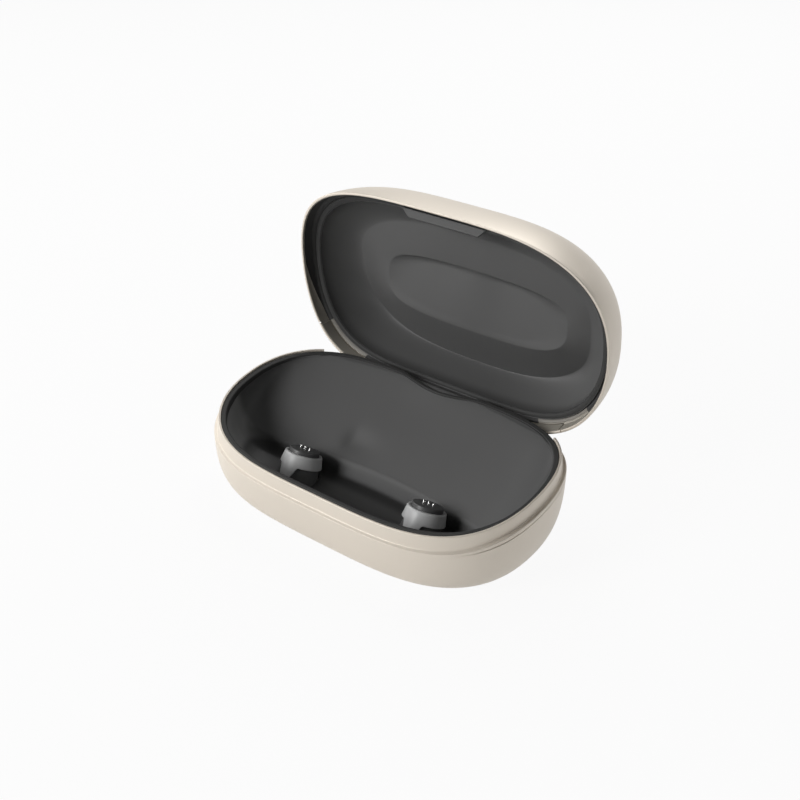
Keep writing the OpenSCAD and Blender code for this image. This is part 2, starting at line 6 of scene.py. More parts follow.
import bmesh
import bpy
import numpy as np
from bpy.props import FloatProperty, FloatVectorProperty, IntProperty, PointerProperty
from bpy.types import Operator, Panel, PropertyGroup
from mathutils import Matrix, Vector


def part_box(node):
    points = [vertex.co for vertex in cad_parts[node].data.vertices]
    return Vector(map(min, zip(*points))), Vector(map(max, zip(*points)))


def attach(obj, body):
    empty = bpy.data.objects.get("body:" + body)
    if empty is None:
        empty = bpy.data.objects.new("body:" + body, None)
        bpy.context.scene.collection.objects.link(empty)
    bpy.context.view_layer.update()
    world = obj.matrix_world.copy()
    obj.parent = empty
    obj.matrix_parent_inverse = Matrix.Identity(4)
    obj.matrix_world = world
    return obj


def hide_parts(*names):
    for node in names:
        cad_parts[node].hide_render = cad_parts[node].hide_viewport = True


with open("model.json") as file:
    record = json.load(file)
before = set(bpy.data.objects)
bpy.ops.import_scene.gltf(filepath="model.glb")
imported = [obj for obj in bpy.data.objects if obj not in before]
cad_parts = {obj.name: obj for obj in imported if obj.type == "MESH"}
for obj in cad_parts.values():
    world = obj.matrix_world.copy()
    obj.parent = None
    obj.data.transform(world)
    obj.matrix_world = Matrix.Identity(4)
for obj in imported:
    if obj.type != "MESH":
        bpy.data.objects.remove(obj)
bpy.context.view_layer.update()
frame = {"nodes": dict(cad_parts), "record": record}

bl_info = {
    "name": "Hearing aid case",
    "version": (1, 0, 0),
    "blender": (4, 5, 0),
    "location": "View3D > Sidebar > Case",
    "description": "Builds the shells, tray, posts, hinge and stage of a charging case",
    "category": "Object",
}

MM = 0.001
SIDES = {"left": -1, "right": 1}
SHARP = math.radians(40)


# Settings

def length(name, description, default):
    """A size in metres that a user can change."""
    return FloatProperty(name=name, description=description, default=default, unit="LENGTH", precision=5)


def plain(name, description, default):
    """A number without a unit."""
    return FloatProperty(name=name, description=description, default=default, precision=3)


def tint(name, description, default):
    """A colour in linear light."""
    return FloatVectorProperty(name=name, description=description, default=default, subtype="COLOR",
                               size=3, min=0, max=1)


def angle(name, description, degrees):
    """An angle, given in degrees."""
    return FloatProperty(name=name, description=description, default=math.radians(degrees), subtype="ANGLE")


class CaseSizes(PropertyGroup):
    """Outline and base of the case."""
    length: length("Length", "Length of the closed case", 0.1)
    front: length("Front", "From the middle to the front edge", 0.0299)
    rear: length("Rear", "From the middle to the rear edge", 0.0285)
    front_flat: plain("Front flatness", "Exponent of the front side along the case", 3.65)
    front_full: plain("Front fullness", "Exponent of the front side across the case", 2.4)
    rear_flat: plain("Rear flatness", "Exponent of the rear side along the case", 4.8)
    rear_full: plain("Rear fullness", "Exponent of the rear side across the case", 2.0)
    ledge: length("Ledge", "Height of the parting ledge at the middle", 0.0164)
    slope: plain("Ledge slope", "Rise of the ledge from front to rear", 0.105)
    end_rise: length("End rise", "Rise of the ledge at both ends", 0.0028)
    foot_scale: plain("Foot", "Underside against the ledge outline", 0.8)
    foot: length("Foot pad", "Thickness of the foot pad", 0.0003)
    wall: length("Wall", "Wall of the base shell", 0.0016)
    flange: length("Flange", "Thickness of the ledge ring", 0.001)
    neck: length("Neck", "Height of the neck above the ledge", 0.00365)


class TraySizes(PropertyGroup):
    """Dark tray in the base."""
    inset: length("Inset", "From the outline to the edge of the tray", 0.002)
    wall: length("Wall", "Wall of the tray", 0.0013)
    rim: length("Edge", "Height of the tray edge above the ledge", 0.0037)
    trough: length("Trough", "Height of the trough floor", 0.004)
    ridge: length("Ridge", "Height of the ridge between trough and ramp", 0.008)
    ramp: plain("Ramp", "Climb of the ramp", 0.557)
    fall: length("Fall", "Length of the fall from ramp to trough", 0.004)
    edge_wall: length("Edge wall", "Thickness of the edge", 0.0009)
    dip: length("Dip", "Depth of the dip in the rear edge", 0.0005)
    dip_back: length("Dip back", "How far the edge draws back in the dip", 0.0019)
    dip_length: length("Dip length", "Half length of the dip", 0.0142)


class PostSizes(PropertyGroup):
    """Charging posts and contact pins."""
    spread: length("Spread", "From the middle to each post", 0.0208)
    tip_y: length("Tip place", "Front to rear place of the pin tips", -0.0082)
    tip_z: length("Tip height", "Height of the pin tips", 0.0124)
    lean: angle("Lean", "Lean of the posts", 27)
    pitch: length("Pin pitch", "Spacing of the contact pins", 0.0015)
    pin: length("Pin radius", "Radius of a contact pin", 0.0003)
    segments: IntProperty(name="Segments", description="Sides of a turned part", default=96, min=12)


class LidSizes(PropertyGroup):
    """Domed lid and its liner."""
    dome: length("Dome", "Height of the dome above the ledge", 0.0252)
    opening: angle("Opening", "Angle by which the lid stands open", 91.3)
    gap: length("Gap", "Gap between the lid edge and the ledge", 0.0003)
    skirt: length("Skirt", "Thickness of the lid edge", 0.00065)
    rim: length("Rim", "Height of the step inside the lid edge", 0.0041)
    liner: length("Liner edge", "Height of the liner edge above the ledge", 0.00475)
    crest: length("Crest", "Depth of the cavity at the foot of its wall", 0.01)
    crest_length: length("Crest length", "Half length of the ceiling", 0.0378)
    crest_front: length("Crest front", "From the middle to the front of the ceiling", 0.0188)
    crest_rear: length("Crest rear", "From the middle to the groove at the hinge side", 0.0225)
    groove: length("Groove", "Extra depth of the groove at the hinge side", 0.0035)
    lip: length("Lip", "Rise of the recess edge out of the groove", 0.0044)
    recess_length: length("Recess length", "Half length of the recess", 0.0294)
    recess_width: length("Recess width", "Half width of the recess", 0.0093)
    recess_x: length("Recess shift", "Sideways place of the recess", 0.0021)
    recess_y: length("Recess place", "Front to rear place of the recess", 0.0009)
    recess: length("Recess", "Depth of the recess at its front edge", 0.0019)


class HingeSizes(PropertyGroup):
    """Hinge at the rear edge."""
    inset: length("Inset", "From the rear edge to the hinge line", 0.00245)
    rise: length("Rise", "From the rear ledge up to the hinge line", 0.00095)
    barrel: length("Barrel", "Radius of the knuckles", 0.00125)
    barrel_length: length("Barrel length", "Length of the middle knuckle", 0.035)
    pin: length("Pin", "Radius of the hinge pin", 0.00075)
    notch: angle("Notch", "Angle at which the neck stops beside the hinge", 36)
    seam_left: angle("Left seam", "Angle of the left seam of the hinge strip", 154)
    seam_right: angle("Right seam", "Angle of the right seam of the hinge strip", 39)
    dark: angle("Dark step", "Angle from which the step at the hinge is dark", 52)


class CaseColours(PropertyGroup):
    """Colours of the finishes."""
    shell: tint("Shell", "Cream of the outer shells", (0.79, 0.72, 0.625))
    inner: tint("Inner rim", "Taupe of the step inside the lid edge", (0.36, 0.335, 0.29))
    liner: tint("Liner", "Charcoal of the tray and lid liner", (0.115, 0.115, 0.114))
    step: tint("Inner step", "Darker taupe of the flat step inside the lid edge", (0.23, 0.215, 0.19))
    edge: tint("Dark edges", "Edge of the tray and step inside the lid", (0.05, 0.05, 0.049))
    clip: tint("Clip", "Grey of the post clips", (0.58, 0.582, 0.58))
    cap: tint("Cap", "Dark grey of the post caps", (0.09, 0.09, 0.09))
    steel: tint("Steel", "Bright metal", (0.75, 0.75, 0.73))
    floor: tint("Floor", "Pale floor", (0.75, 0.75, 0.75))


def group(name):
    """One of the setting groups of the scene."""
    return getattr(bpy.context.scene, name)


# Outline of the case

def ease(v):
    """Soft step from 0 to 1."""
    v = np.clip(v, 0, 1)
    return v * v * (3 - 2 * v)


def arch(t, n, m):
    """Height of a rounded arch at angle t."""
    return np.sign(np.sin(t)) * np.abs(1 - np.abs(np.cos(t)) ** n) ** (1 / m)


def edge(t, inset):
    """Points of the case outline, drawn in by inset."""
    c = group("case_sizes")
    front = np.sin(t) < -1e-9
    width = np.where(front, c.front, c.rear)
    n = np.where(front, c.front_flat, c.rear_flat)
    m = np.where(front, c.front_full, c.rear_full)
    return np.stack([(c.length / 2 - inset) * np.cos(t), (width - inset) * arch(t, n, m)], -1)


def ledge(p):
    """Height of the parting ledge at points of the plan."""
    c = group("case_sizes")
    return c.ledge + c.slope * p[..., 1] + c.end_rise * np.abs(2 * p[..., 0] / c.length) ** 5


def hinge_line():
    """Place of the hinge line, front to rear and up."""
    c, h = group("case_sizes"), group("hinge_sizes")
    return c.rear - h.inset, c.ledge + c.slope * c.rear + h.rise


def full_turn(start=None, end=None):
    """Angles round the case, with close pairs where the hinge gap begins and ends."""
    notch = group("hinge_sizes").notch
    start, end = start or notch, end or math.pi - notch
    close = math.radians(0.3)
    turn, ends = np.radians(np.arange(0, 360, 1.0)), np.array([start - close, start, end, end + close])
    apart = np.abs(turn[:, None] - ends).min(1) > math.radians(0.1)
    return np.sort(np.concatenate([turn[apart], ends]))


def arc(start, end, step=1.0):
    """Angles from start to end in radians, in steps of about step degrees."""
    count = max(2, int(round(math.degrees(end - start) / step)))
    return np.linspace(start, end, count + 1)


def lid_open(points):
    """Turns points of the closed lid about the hinge line to the open lid."""
    y0, z0 = hinge_line()
    a = -group("lid_sizes").opening
    y, z = points[..., 1] - y0, points[..., 2] - z0
    out = points.copy()
    out[..., 1] = y0 + y * math.cos(a) - z * math.sin(a)
    out[..., 2] = z0 + y * math.sin(a) + z * math.cos(a)
    return out


def with_height(p, z):
    """Points of the plan with a height."""
    return np.concatenate([p, np.broadcast_to(z, p.shape[:-1])[..., None]], -1)


# Meshes

def mm(rows):
    """Rows of millimetres, turned to metres."""
    return [tuple(v * MM for v in row) for row in rows]


def linked(name, data):
    """A new object in the scene."""
    obj = bpy.data.objects.new(name, data)
    bpy.context.scene.collection.objects.link(obj)
    return obj


def finished(name, mesh, look):
    """Links a mesh as an object with outward faces, smooth shading and one finish."""
    bm = bmesh.new()
    bm.from_mesh(mesh)
    bmesh.ops.recalc_face_normals(bm, faces=bm.faces)
    for face in bm.faces:
        face.smooth = True
    bm.to_mesh(mesh)
    bm.free()
    mesh.set_sharp_from_angle(angle=SHARP)
    mesh.materials.clear()
    mesh.materials.append(finish(look))
    return linked(name, mesh)


def ride(obj, body, slot, *nodes):
    """Puts a finished piece on its body and hides the frame nodes that it stands for. The slot is not used."""
    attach(obj, body)
    if nodes:
        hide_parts(*nodes)


def piece(name, mesh, look, body, slot, *nodes):
    """Finishes a mesh and puts it on its body."""
    ride(finished(name, mesh, look), body, slot, *nodes)


def loft_mesh(name, rings, wrap=True, loop=False, caps=(False, False)):
    """Mesh through rings of points. wrap closes each ring, loop joins the last ring to the first,
    and caps close the first and last ring with a fan, or with one face on an open strip."""
    rings = np.asarray(rings, float)
    rows, cols = rings.shape[:2]
    verts = list(map(tuple, rings.reshape(-1, 3)))
    faces = []
    for r in range(rows if loop else rows - 1):
        a, b = r * cols, (r + 1) % rows * cols
        for i in range(cols if wrap else cols - 1):
            j = (i + 1) % cols
            faces.append((a + i, a + j, b + j, b + i))
    for which, r in zip(caps, (0, rows - 1)):
        if not which:
            continue
        ring = [r * cols + i for i in range(cols)]
        if which == "face":
            faces.append(tuple(ring))
        else:
            verts.append(tuple(rings[r].mean(0)))
            centre = len(verts) - 1
            faces.extend((ring[i], ring[(i + 1) % cols], centre) for i in range(cols))
    mesh = bpy.data.meshes.new(name)
    mesh.from_pydata(verts, [], faces)
    mesh.validate()
    return mesh


def swept(name, section, place, turns):
    """Strip with a closed section in millimetres: place gives the points of one corner at all turns."""
    loops = np.stack([place(turns, inset, dz) for inset, dz in mm(section)], 1)
    return loft_mesh(name, loops, caps=("face", "face"))


def box_mesh(name, low, high, bevel=0.0, segments=2, place=None):
    """Box between two corners, moved by place, with rounded edges where bevel is given."""
    low, size = np.array(low), np.array(high) - np.array(low)
    bm = bmesh.new()
    bmesh.ops.create_cube(bm, size=1)
    for v in bm.verts:
        co = low + (np.array(v.co) + 0.5) * size
        v.co = place(co[None])[0] if place else co
    if bevel:
        bmesh.ops.bevel(bm, geom=bm.edges, offset=bevel, segments=segments, affect="EDGES")
    mesh = bpy.data.meshes.new(name)
    bm.to_mesh(mesh)
    bm.free()
    return mesh


def cut(obj, tools):
    """Cuts tool meshes out of an object and removes them."""
    for tool in tools:
        cutter = linked("cutter", tool)
        step = obj.modifiers.new("cut", "BOOLEAN")
        step.object, step.operation, step.solver = cutter, "DIFFERENCE", "EXACT"
        deps = bpy.context.evaluated_depsgraph_get()
        mesh = bpy.data.meshes.new_from_object(obj.evaluated_get(deps))
        obj.modifiers.remove(step)
        old, obj.data = obj.data, mesh
        bpy.data.meshes.remove(old)
        bpy.data.objects.remove(cutter)
        bpy.data.meshes.remove(tool)
    obj.data.name = obj.name
    obj.data.set_sharp_from_angle(angle=SHARP)


def rounded_slot(name, width, height, depth, centre):
    """Prism with round ends that runs along Y."""
    r = height / 2
    a = np.linspace(-math.pi / 2, math.pi / 2, 16)
    right = np.stack([width / 2 - r + r * np.cos(a), r * np.sin(a)], -1)
    ring = np.concatenate([right, -right])
    loops = [np.stack([ring[:, 0], np.full(len(ring), y), ring[:, 1]], -1) for y in (-depth / 2, depth / 2)]
    return loft_mesh(name, np.asarray(loops) + np.asarray(centre), caps=("face", "face"))


# Geometry node trees

def add_node(tree, kind, operation=None, **inputs):
    """A new node with its operation and values on its named inputs."""
    node = tree.nodes.new(kind)
    if operation:
        node.operation = operation
    for key, value in inputs.items():
        node.inputs[key.replace("_", " ")].default_value = value
    return node


def new_tree(name, sockets):
    """A geometry tree with named inputs, from (name, socket type, default)."""
    tree = bpy.data.node_groups.new(name, "GeometryNodeTree")
    tree.interface.new_socket(name="Geometry", in_out="INPUT", socket_type="NodeSocketGeometry")
    for label, kind, default in sockets:
        socket = tree.interface.new_socket(name=label, in_out="INPUT", socket_type=kind)
        if default is not None:
            socket.default_value = default
    tree.interface.new_socket(name="Geometry", in_out="OUTPUT", socket_type="NodeSocketGeometry")
    return tree, tree.nodes.new("NodeGroupInput"), tree.nodes.new("NodeGroupOutput")


def close_tree(tree, source, start, end):
    """Ends a tree in realized instances with a material."""
    real = tree.nodes.new("GeometryNodeRealizeInstances")
    paint = tree.nodes.new("GeometryNodeSetMaterial")
    tree.links.new(source, real.inputs[0])
    tree.links.new(real.outputs[0], paint.inputs["Geometry"])
    tree.links.new(start.outputs["Material"], paint.inputs["Material"])
    tree.links.new(paint.outputs[0], end.inputs[0])


def turned_tree():
    """Turns the input outline, drawn as radius and height, about the Z axis."""
    found = bpy.data.node_groups.get("Turned part")
    if found:
        return found
    tree, start, end = new_tree("Turned part", [
        ("Segments", "NodeSocketInt", 96), ("Axis Radius", "NodeSocketFloat", 1e-6),
        ("Join Distance", "NodeSocketFloat", 4e-6), ("Material", "NodeSocketMaterial", None)])
    link = tree.links.new
    outline = tree.nodes.new("GeometryNodeMeshToCurve")
    circle = tree.nodes.new("GeometryNodeCurvePrimitiveCircle")
    sweep = tree.nodes.new("GeometryNodeCurveToMesh")
    join = tree.nodes.new("GeometryNodeMergeByDistance")
    link(start.outputs["Geometry"], outline.inputs[0])
    link(start.outputs["Segments"], circle.inputs["Resolution"])
    link(start.outputs["Axis Radius"], circle.inputs["Radius"])
    link(circle.outputs[0], sweep.inputs["Curve"])
    link(outline.outputs[0], sweep.inputs["Profile Curve"])
    link(sweep.outputs[0], join.inputs["Geometry"])
    link(start.outputs["Join Distance"], join.inputs["Distance"])
    close_tree(tree, join.outputs[0], start, end)
    return tree


def screw_tree():
    """Sets a screw with a six-sided socket on every input point."""
    found = bpy.data.node_groups.get("Screw set")
    if found:
        return found
    tree, start, end = new_tree("Screw set", [
        ("Head Radius", "NodeSocketFloat", 0.0018), ("Head Height", "NodeSocketFloat", 0.0008),
        ("Shank Radius", "NodeSocketFloat", 0.00068), ("Shank Length", "NodeSocketFloat", 0.0029),
        ("Turn", "NodeSocketRotation", None), ("Material", "NodeSocketMaterial", None)])
    link = tree.links.new

    def math_node(operation, a, b):
        """Result of a sum or product of two sockets or numbers."""
        node = add_node(tree, "ShaderNodeMath", operation)
        for socket, value in zip(node.inputs, (a, b)):
            if isinstance(value, (int, float)):
                socket.default_value = value
            else:
                link(value, socket)
        return node.outputs[0]

    def cylinder(sides, radius, depth, middle):
        """Upright cylinder about a height."""
        node = add_node(tree, "GeometryNodeMeshCylinder", Vertices=sides)
        link(radius, node.inputs["Radius"])
        link(depth, node.inputs["Depth"])
        move = tree.nodes.new("GeometryNodeTransform")
        place = tree.nodes.new("ShaderNodeCombineXYZ")
        link(middle, place.inputs["Z"])
        link(place.outputs[0], move.inputs["Translation"])
        link(node.outputs["Mesh"], move.inputs["Geometry"])
        return move.outputs[0]

    out = start.outputs
    half_head = math_node("MULTIPLY", out["Head Height"], 0.5)
    head = cylinder(48, out["Head Radius"], out["Head Height"], half_head)
    socket_r = math_node("MULTIPLY", out["Head Radius"], 0.4)
    zero = math_node("MULTIPLY", out["Head Height"], 0.0)
    socket = cylinder(6, socket_r, out["Head Height"], zero)
    bored = add_node(tree, "GeometryNodeMeshBoolean", "DIFFERENCE")
    link(head, bored.inputs["Mesh 1"])
    link(socket, bored.inputs["Mesh 2"])
    middle = math_node("ADD", out["Head Height"], math_node("MULTIPLY", out["Shank Length"], 0.5))
    shank = cylinder(32, out["Shank Radius"], out["Shank Length"], middle)
    join = tree.nodes.new("GeometryNodeJoinGeometry")
    link(bored.outputs["Mesh"], join.inputs[0])
    link(shank, join.inputs[0])
    put = tree.nodes.new("GeometryNodeInstanceOnPoints")
    link(out["Geometry"], put.inputs["Points"])
    link(join.outputs[0], put.inputs["Instance"])
    link(out["Turn"], put.inputs["Rotation"])
    close_tree(tree, put.outputs[0], start, end)
    return tree


def grown(name, tree, verts, edges, values):
    """Plain mesh of a geometry tree on an input of points and edges."""
    source = bpy.data.meshes.new(name + "_input")
    source.from_pydata([tuple(v) for v in verts], edges, [])
    obj = linked(name + "_input", source)
    step = obj.modifiers.new("grow", "NODES")
    step.node_group = tree
    for item in tree.interface.items_tree:
        if item.in_out == "INPUT" and item.name in values:
            step[item.identifier] = values[item.name]
    deps = bpy.context.evaluated_depsgraph_get()
    mesh = bpy.data.meshes.new_from_object(obj.evaluated_get(deps))
    mesh.name = name
    bpy.data.objects.remove(obj)
    bpy.data.meshes.remove(source)
    return mesh


def turned(name, outline, look, place, closed=True, segments=None):
    """Turned piece from an outline of (radius, height) points, moved by place."""
    pts = np.asarray(outline, float)
    count = len(pts)
    edges = [(i, i + 1) for i in range(count - 1)] + ([(count - 1, 0)] if closed else [])
    verts = np.stack([pts[:, 0], -pts[:, 1], np.zeros(count)], -1)
    mesh = grown(name, turned_tree(), verts, edges,
                 {"Segments": segments or group("post_sizes").segments, "Material": finish(look)})
    co = np.zeros(len(mesh.vertices) * 3)
    mesh.vertices.foreach_get("co", co)
    mesh.vertices.foreach_set("co", place(co.reshape(-1, 3)).ravel())
    mesh.update()
    return finished(name, mesh, look)


def drill(rows, look, place, segments):
    """Mesh of a round cutter, from rows of radius and height in millimetres."""
    tool = turned("drill", mm(rows), look, place, closed=False, segments=segments)
    mesh = tool.data
    bpy.data.objects.remove(tool)
    return mesh


# Materials

def add_socket(tree, name, kind, default=None, direction="INPUT"):
    """A named input or output of a node group."""
    item = tree.interface.new_socket(name=name, in_out=direction, socket_type=kind)
    if default is not None:
        item.default_value = default


def grain_group():
    """Fine moulded grain: a height for bump, a slow mottling and a fine speckle."""
    found = bpy.data.node_groups.get("Moulded grain")
    if found:
        return found
    tree = bpy.data.node_groups.new("Moulded grain", "ShaderNodeTree")
    add_socket(tree, "Vector", "NodeSocketVector")
    add_socket(tree, "Grain Scale", "NodeSocketFloat", 6000.0)
    add_socket(tree, "Mottle Scale", "NodeSocketFloat", 60.0)
    for name in ("Height", "Mottle", "Speckle"):
        add_socket(tree, name, "NodeSocketFloat", direction="OUTPUT")
    start, end = tree.nodes.new("NodeGroupInput"), tree.nodes.new("NodeGroupOutput")
    link = tree.links.new
    fine = add_node(tree, "ShaderNodeTexNoise", Detail=3.0, Roughness=0.6)
    slow = add_node(tree, "ShaderNodeTexNoise", Detail=2.0, Roughness=0.5)
    cells = tree.nodes.new("ShaderNodeTexVoronoi")
    for node, scale in ((fine, "Grain Scale"), (slow, "Mottle Scale"), (cells, "Grain Scale")):
        link(start.outputs["Vector"], node.inputs["Vector"])
        link(start.outputs[scale], node.inputs["Scale"])
    mix = add_node(tree, "ShaderNodeMath", "MULTIPLY_ADD")
    mix.inputs[1].default_value = 0.5
    link(cells.outputs["Distance"], mix.inputs[0])
    link(fine.outputs["Fac"], mix.inputs[2])
    link(mix.outputs[0], end.inputs["Height"])
    link(slow.outputs["Fac"], end.inputs["Mottle"])
    link(fine.outputs["Fac"], end.inputs["Speckle"])
    return tree


def brush_group():
    """Fine brushing along one axis of the object."""
    found = bpy.data.node_groups.get("Brushed lines")
    if found:
        return found
    tree = bpy.data.node_groups.new("Brushed lines", "ShaderNodeTree")
    add_socket(tree, "Vector", "NodeSocketVector")
    add_socket(tree, "Stretch", "NodeSocketVector", (20.0, 1.0, 20.0))
    for name in ("Height", "Streak"):
        add_socket(tree, name, "NodeSocketFloat", direction="OUTPUT")
    start, end = tree.nodes.new("NodeGroupInput"), tree.nodes.new("NodeGroupOutput")
    stretch = add_node(tree, "ShaderNodeVectorMath", "MULTIPLY")
    noise = add_node(tree, "ShaderNodeTexNoise", Scale=900.0, Detail=4.0, Roughness=0.7)
    link = tree.links.new
    link(start.outputs["Vector"], stretch.inputs[0])
    link(start.outputs["Stretch"], stretch.inputs[1])
    link(stretch.outputs[0], noise.inputs["Vector"])
    link(noise.outputs["Fac"], end.inputs["Height"])
    link(noise.outputs["Fac"], end.inputs["Streak"])
    return tree


def surface(name, colour, rough, spread, mottle, grain, slow, bump, depth, brushed=False, **sockets):
    """Material with grain or brushing in its colour, roughness and bump.
    rough is the middle roughness and spread its range. Other values go to the shader's own sockets."""
    mat = bpy.data.materials.new(name)
    mat.use_nodes = True
    tree = mat.node_tree
    link = tree.links.new
    shader = tree.nodes["Principled BSDF"]
    for key, value in sockets.items():
        shader.inputs[key.replace("_", " ")].default_value = value
    where = tree.nodes.new("ShaderNodeTexCoord")
    texture = tree.nodes.new("ShaderNodeGroup")
    texture.node_tree = brush_group() if brushed else grain_group()
    if not brushed:
        for key, value in (("Grain Scale", grain), ("Mottle Scale", slow)):
            texture.inputs[key].default_value = value
    link(where.outputs["Object"], texture.inputs["Vector"])
    blend = tree.nodes.new("ShaderNodeMix")
    blend.data_type = "RGBA"
    for place, change in ((6, -mottle), (7, mottle)):
        blend.inputs[place].default_value = (*[min(1.0, max(0.0, v * (1 + change))) for v in colour], 1)
    link(texture.outputs["Streak" if brushed else "Mottle"], blend.inputs[0])
    link(blend.outputs[2], shader.inputs["Base Color"])
    ramp = add_node(tree, "ShaderNodeMapRange", From_Min=0.3, From_Max=0.7,
                    To_Min=rough - spread / 2, To_Max=rough + spread / 2)
    link(texture.outputs["Streak" if brushed else "Speckle"], ramp.inputs["Value"])
    link(ramp.outputs[0], shader.inputs["Roughness"])
    relief = add_node(tree, "ShaderNodeBump", Strength=bump, Distance=depth)
    link(texture.outputs["Height"], relief.inputs["Height"])
    link(relief.outputs[0], shader.inputs["Normal"])
    return mat


def painted_light_by(mat, way, low, high, share):
    """Paints light and shade into a material's colour: scales it by a share before a place along a direction of the
    object, with a soft change to the plain colour up to another place."""
    tree = mat.node_tree
    link = tree.links.new
    colour = tree.nodes["Principled BSDF"].inputs["Base Color"]
    where = tree.nodes.new("ShaderNodeTexCoord")
    along = add_node(tree, "ShaderNodeVectorMath", "DOT_PRODUCT")
    along.inputs[1].default_value = tuple(way)
    ramp = add_node(tree, "ShaderNodeMapRange", From_Min=low, From_Max=high, To_Min=share, To_Max=1.0)
    ramp.interpolation_type = "SMOOTHSTEP"
    scale = add_node(tree, "ShaderNodeVectorMath", "SCALE")
    link(colour.links[0].from_socket, scale.inputs[0])
    link(where.outputs["Object"], along.inputs[0])
    link(along.outputs["Value"], ramp.inputs["Value"])
    link(ramp.outputs[0], scale.inputs["Scale"])
    link(scale.outputs[0], colour)


def tray_painted_light(mat):
    """Painted shade in the trough and at the right end of the tray, and painted light on the front of the trough
    floor.
    """
    s = group("tray_sizes")
    # painted shade below the ridge
    painted_light_by(mat, (0, 0, 1), s.ridge - 1.4 * MM, s.ridge + 0.4 * MM, 0.38)
    # painted light on the front of the trough floor
    painted_light_by(mat, (0, 1, 0), -9.5 * MM, -6.0 * MM, 2.4)
    # painted shade at the right end of the tray
    painted_light_by(mat, (-1, 0, 0), -46 * MM, -35 * MM, 0.6)


def lid_painted_shade(mat):
    """Painted shade on the walls near the edge of the lid liner."""
    c, edge_z = group("case_sizes"), group("lid_sizes").liner
    start, up = lid_open(np.array([[0, 0, c.ledge + edge_z], [0, -c.slope, c.ledge + edge_z + 1]]))
    way = up - start
    painted_light_by(mat, way, way @ start + 0.8 * MM, way @ start + 5.5 * MM, 0.5)


# Looks whose colour gets painted light and shade, and the steps that paint it
PAINTED_LIGHT = {"tray_charcoal": tray_painted_light, "lid_charcoal": lid_painted_shade}
CHARCOAL = ("liner", 0.48, 0.06, 0.03, 4200.0, 80.0, 0.08, 2e-5, {"Specular_IOR_Level": 0.35})
# Colour or its name in the settings, roughness and its range, mottling, scales of grain and mottling,
# strength and depth of the bump, and other values of the shader
FINISHES = {
    "shell_cream": ("shell", 0.48, 0.05, 0.012, 5200.0, 45.0, 0.05, 1e-5, {"Metallic": 0.35}),
    "inner_rim": ("inner", 0.4, 0.05, 0.02, 5200.0, 60.0, 0.05, 1e-5, {"Metallic": 0.3}),
    "inner_step": ("step", 0.5, 0.05, 0.02, 5200.0, 60.0, 0.05, 1e-5, {}),
    "liner_charcoal": CHARCOAL,
    # the same charcoal, with painted light and shade added to its colour
    "tray_charcoal": CHARCOAL,
    "lid_charcoal": CHARCOAL,
    "edge_dark": ("edge", 0.6, 0.06, 0.03, 4200.0, 80.0, 0.08, 2e-5, {"Specular_IOR_Level": 0.25}),
    "clip_grey": ("clip", 0.38, 0.06, 0.03, 5200.0, 120.0, 0.06, 1e-5, {}),
    "cap_grey": ("cap", 0.4, 0.06, 0.05, 5200.0, 120.0, 0.06, 1e-5, {}),
    "pin_metal": ((0.86, 0.86, 0.84), 0.18, 0.06, 0.02, 9000.0, 900.0, 0.03, 5e-6, {"Metallic": 1.0}),
    "steel": ("steel", 0.3, 0.15, 0.06, 6000.0, 60.0, 0.08, 1e-5, {"brushed": True, "Metallic": 1.0}),
    "magnet_nickel": ((0.7, 0.7, 0.72), 0.22, 0.08, 0.03, 5000.0, 300.0, 0.04, 1e-5, {"Metallic": 1.0}),
    "barrel_brass": ((0.72, 0.55, 0.26), 0.28, 0.1, 0.05, 6000.0, 500.0, 0.04, 1e-5, {"Metallic": 1.0}),
    "board_green": ((0.02, 0.13, 0.06), 0.35, 0.1, 0.12, 3000.0, 400.0, 0.1, 2e-5, {}),
    "chip_black": ((0.03, 0.03, 0.03), 0.55, 0.1, 0.08, 6000.0, 300.0, 0.1, 1e-5, {}),
    "cell_foil": ((0.56, 0.58, 0.6), 0.4, 0.12, 0.05, 1500.0, 150.0, 0.2, 4e-5, {"Metallic": 0.8}),
    "foam_black": ((0.03, 0.03, 0.03), 0.9, 0.1, 0.2, 3000.0, 200.0, 0.4, 6e-5, {}),
    "flex_amber": ((0.5, 0.25, 0.06), 0.3, 0.08, 0.06, 4000.0, 200.0, 0.05, 1e-5, {}),
    "foot_rubber": ((0.06, 0.06, 0.06), 0.75, 0.1, 0.1, 3500.0, 150.0, 0.25, 3e-5, {}),
}


def finish(look):
    """The material of a look, made the first time that it is asked for."""
    name = "finish_" + look
    found = bpy.data.materials.get(name)
    if found:
        return found
    if look not in FINISHES:
        raise ValueError("no finish for slot " + look)
    colour, *values, sockets = FINISHES[look]
    if isinstance(colour, str):
        colour = getattr(group("case_colours"), colour)
    mat = surface(name, colour, *values, **sockets)
    if look in PAINTED_LIGHT:
        PAINTED_LIGHT[look](mat)
    return mat


# Base

# Gaps of the shell's top edge: under the ledge along the front, more at the ends, and in the hinge gap
FRONT_SEAM, END_SEAM, UNDER_LEDGE, UNDER_STRIP = 0.005 * MM, 0.245 * MM, 0.1 * MM, 0.4 * MM
HINGE_STEP = math.radians(0.8)
PORT_ROOM, PORT_DEPTH = 0.4 * MM, 8 * MM


def shell_top(t):
    """Height of the top edge of the base shell, which rises in the hinge gap."""
    c, h = group("case_sizes"), group("hinge_sizes")
    y0, z0 = hinge_line()
    p = edge(t, 0)
    under = ledge(p) - c.flange - FRONT_SEAM - END_SEAM * end_share(t)
    behind = np.minimum(ledge(p) - UNDER_LEDGE, z0 + y0 - p[..., 1] - UNDER_STRIP)
    k = np.clip(np.minimum(t - h.notch, math.pi - h.notch - t) / HINGE_STEP, 0, 1)
    return under + (behind - under) * k


def end_share(t):
    """0 along the front and 1 at the ends and the rear, where the ledge has its gutter and seam."""
    start = np.where(np.cos(t) > 0, 0.71, 0.26)
    return ease((np.sin(t) + start) / 0.4)


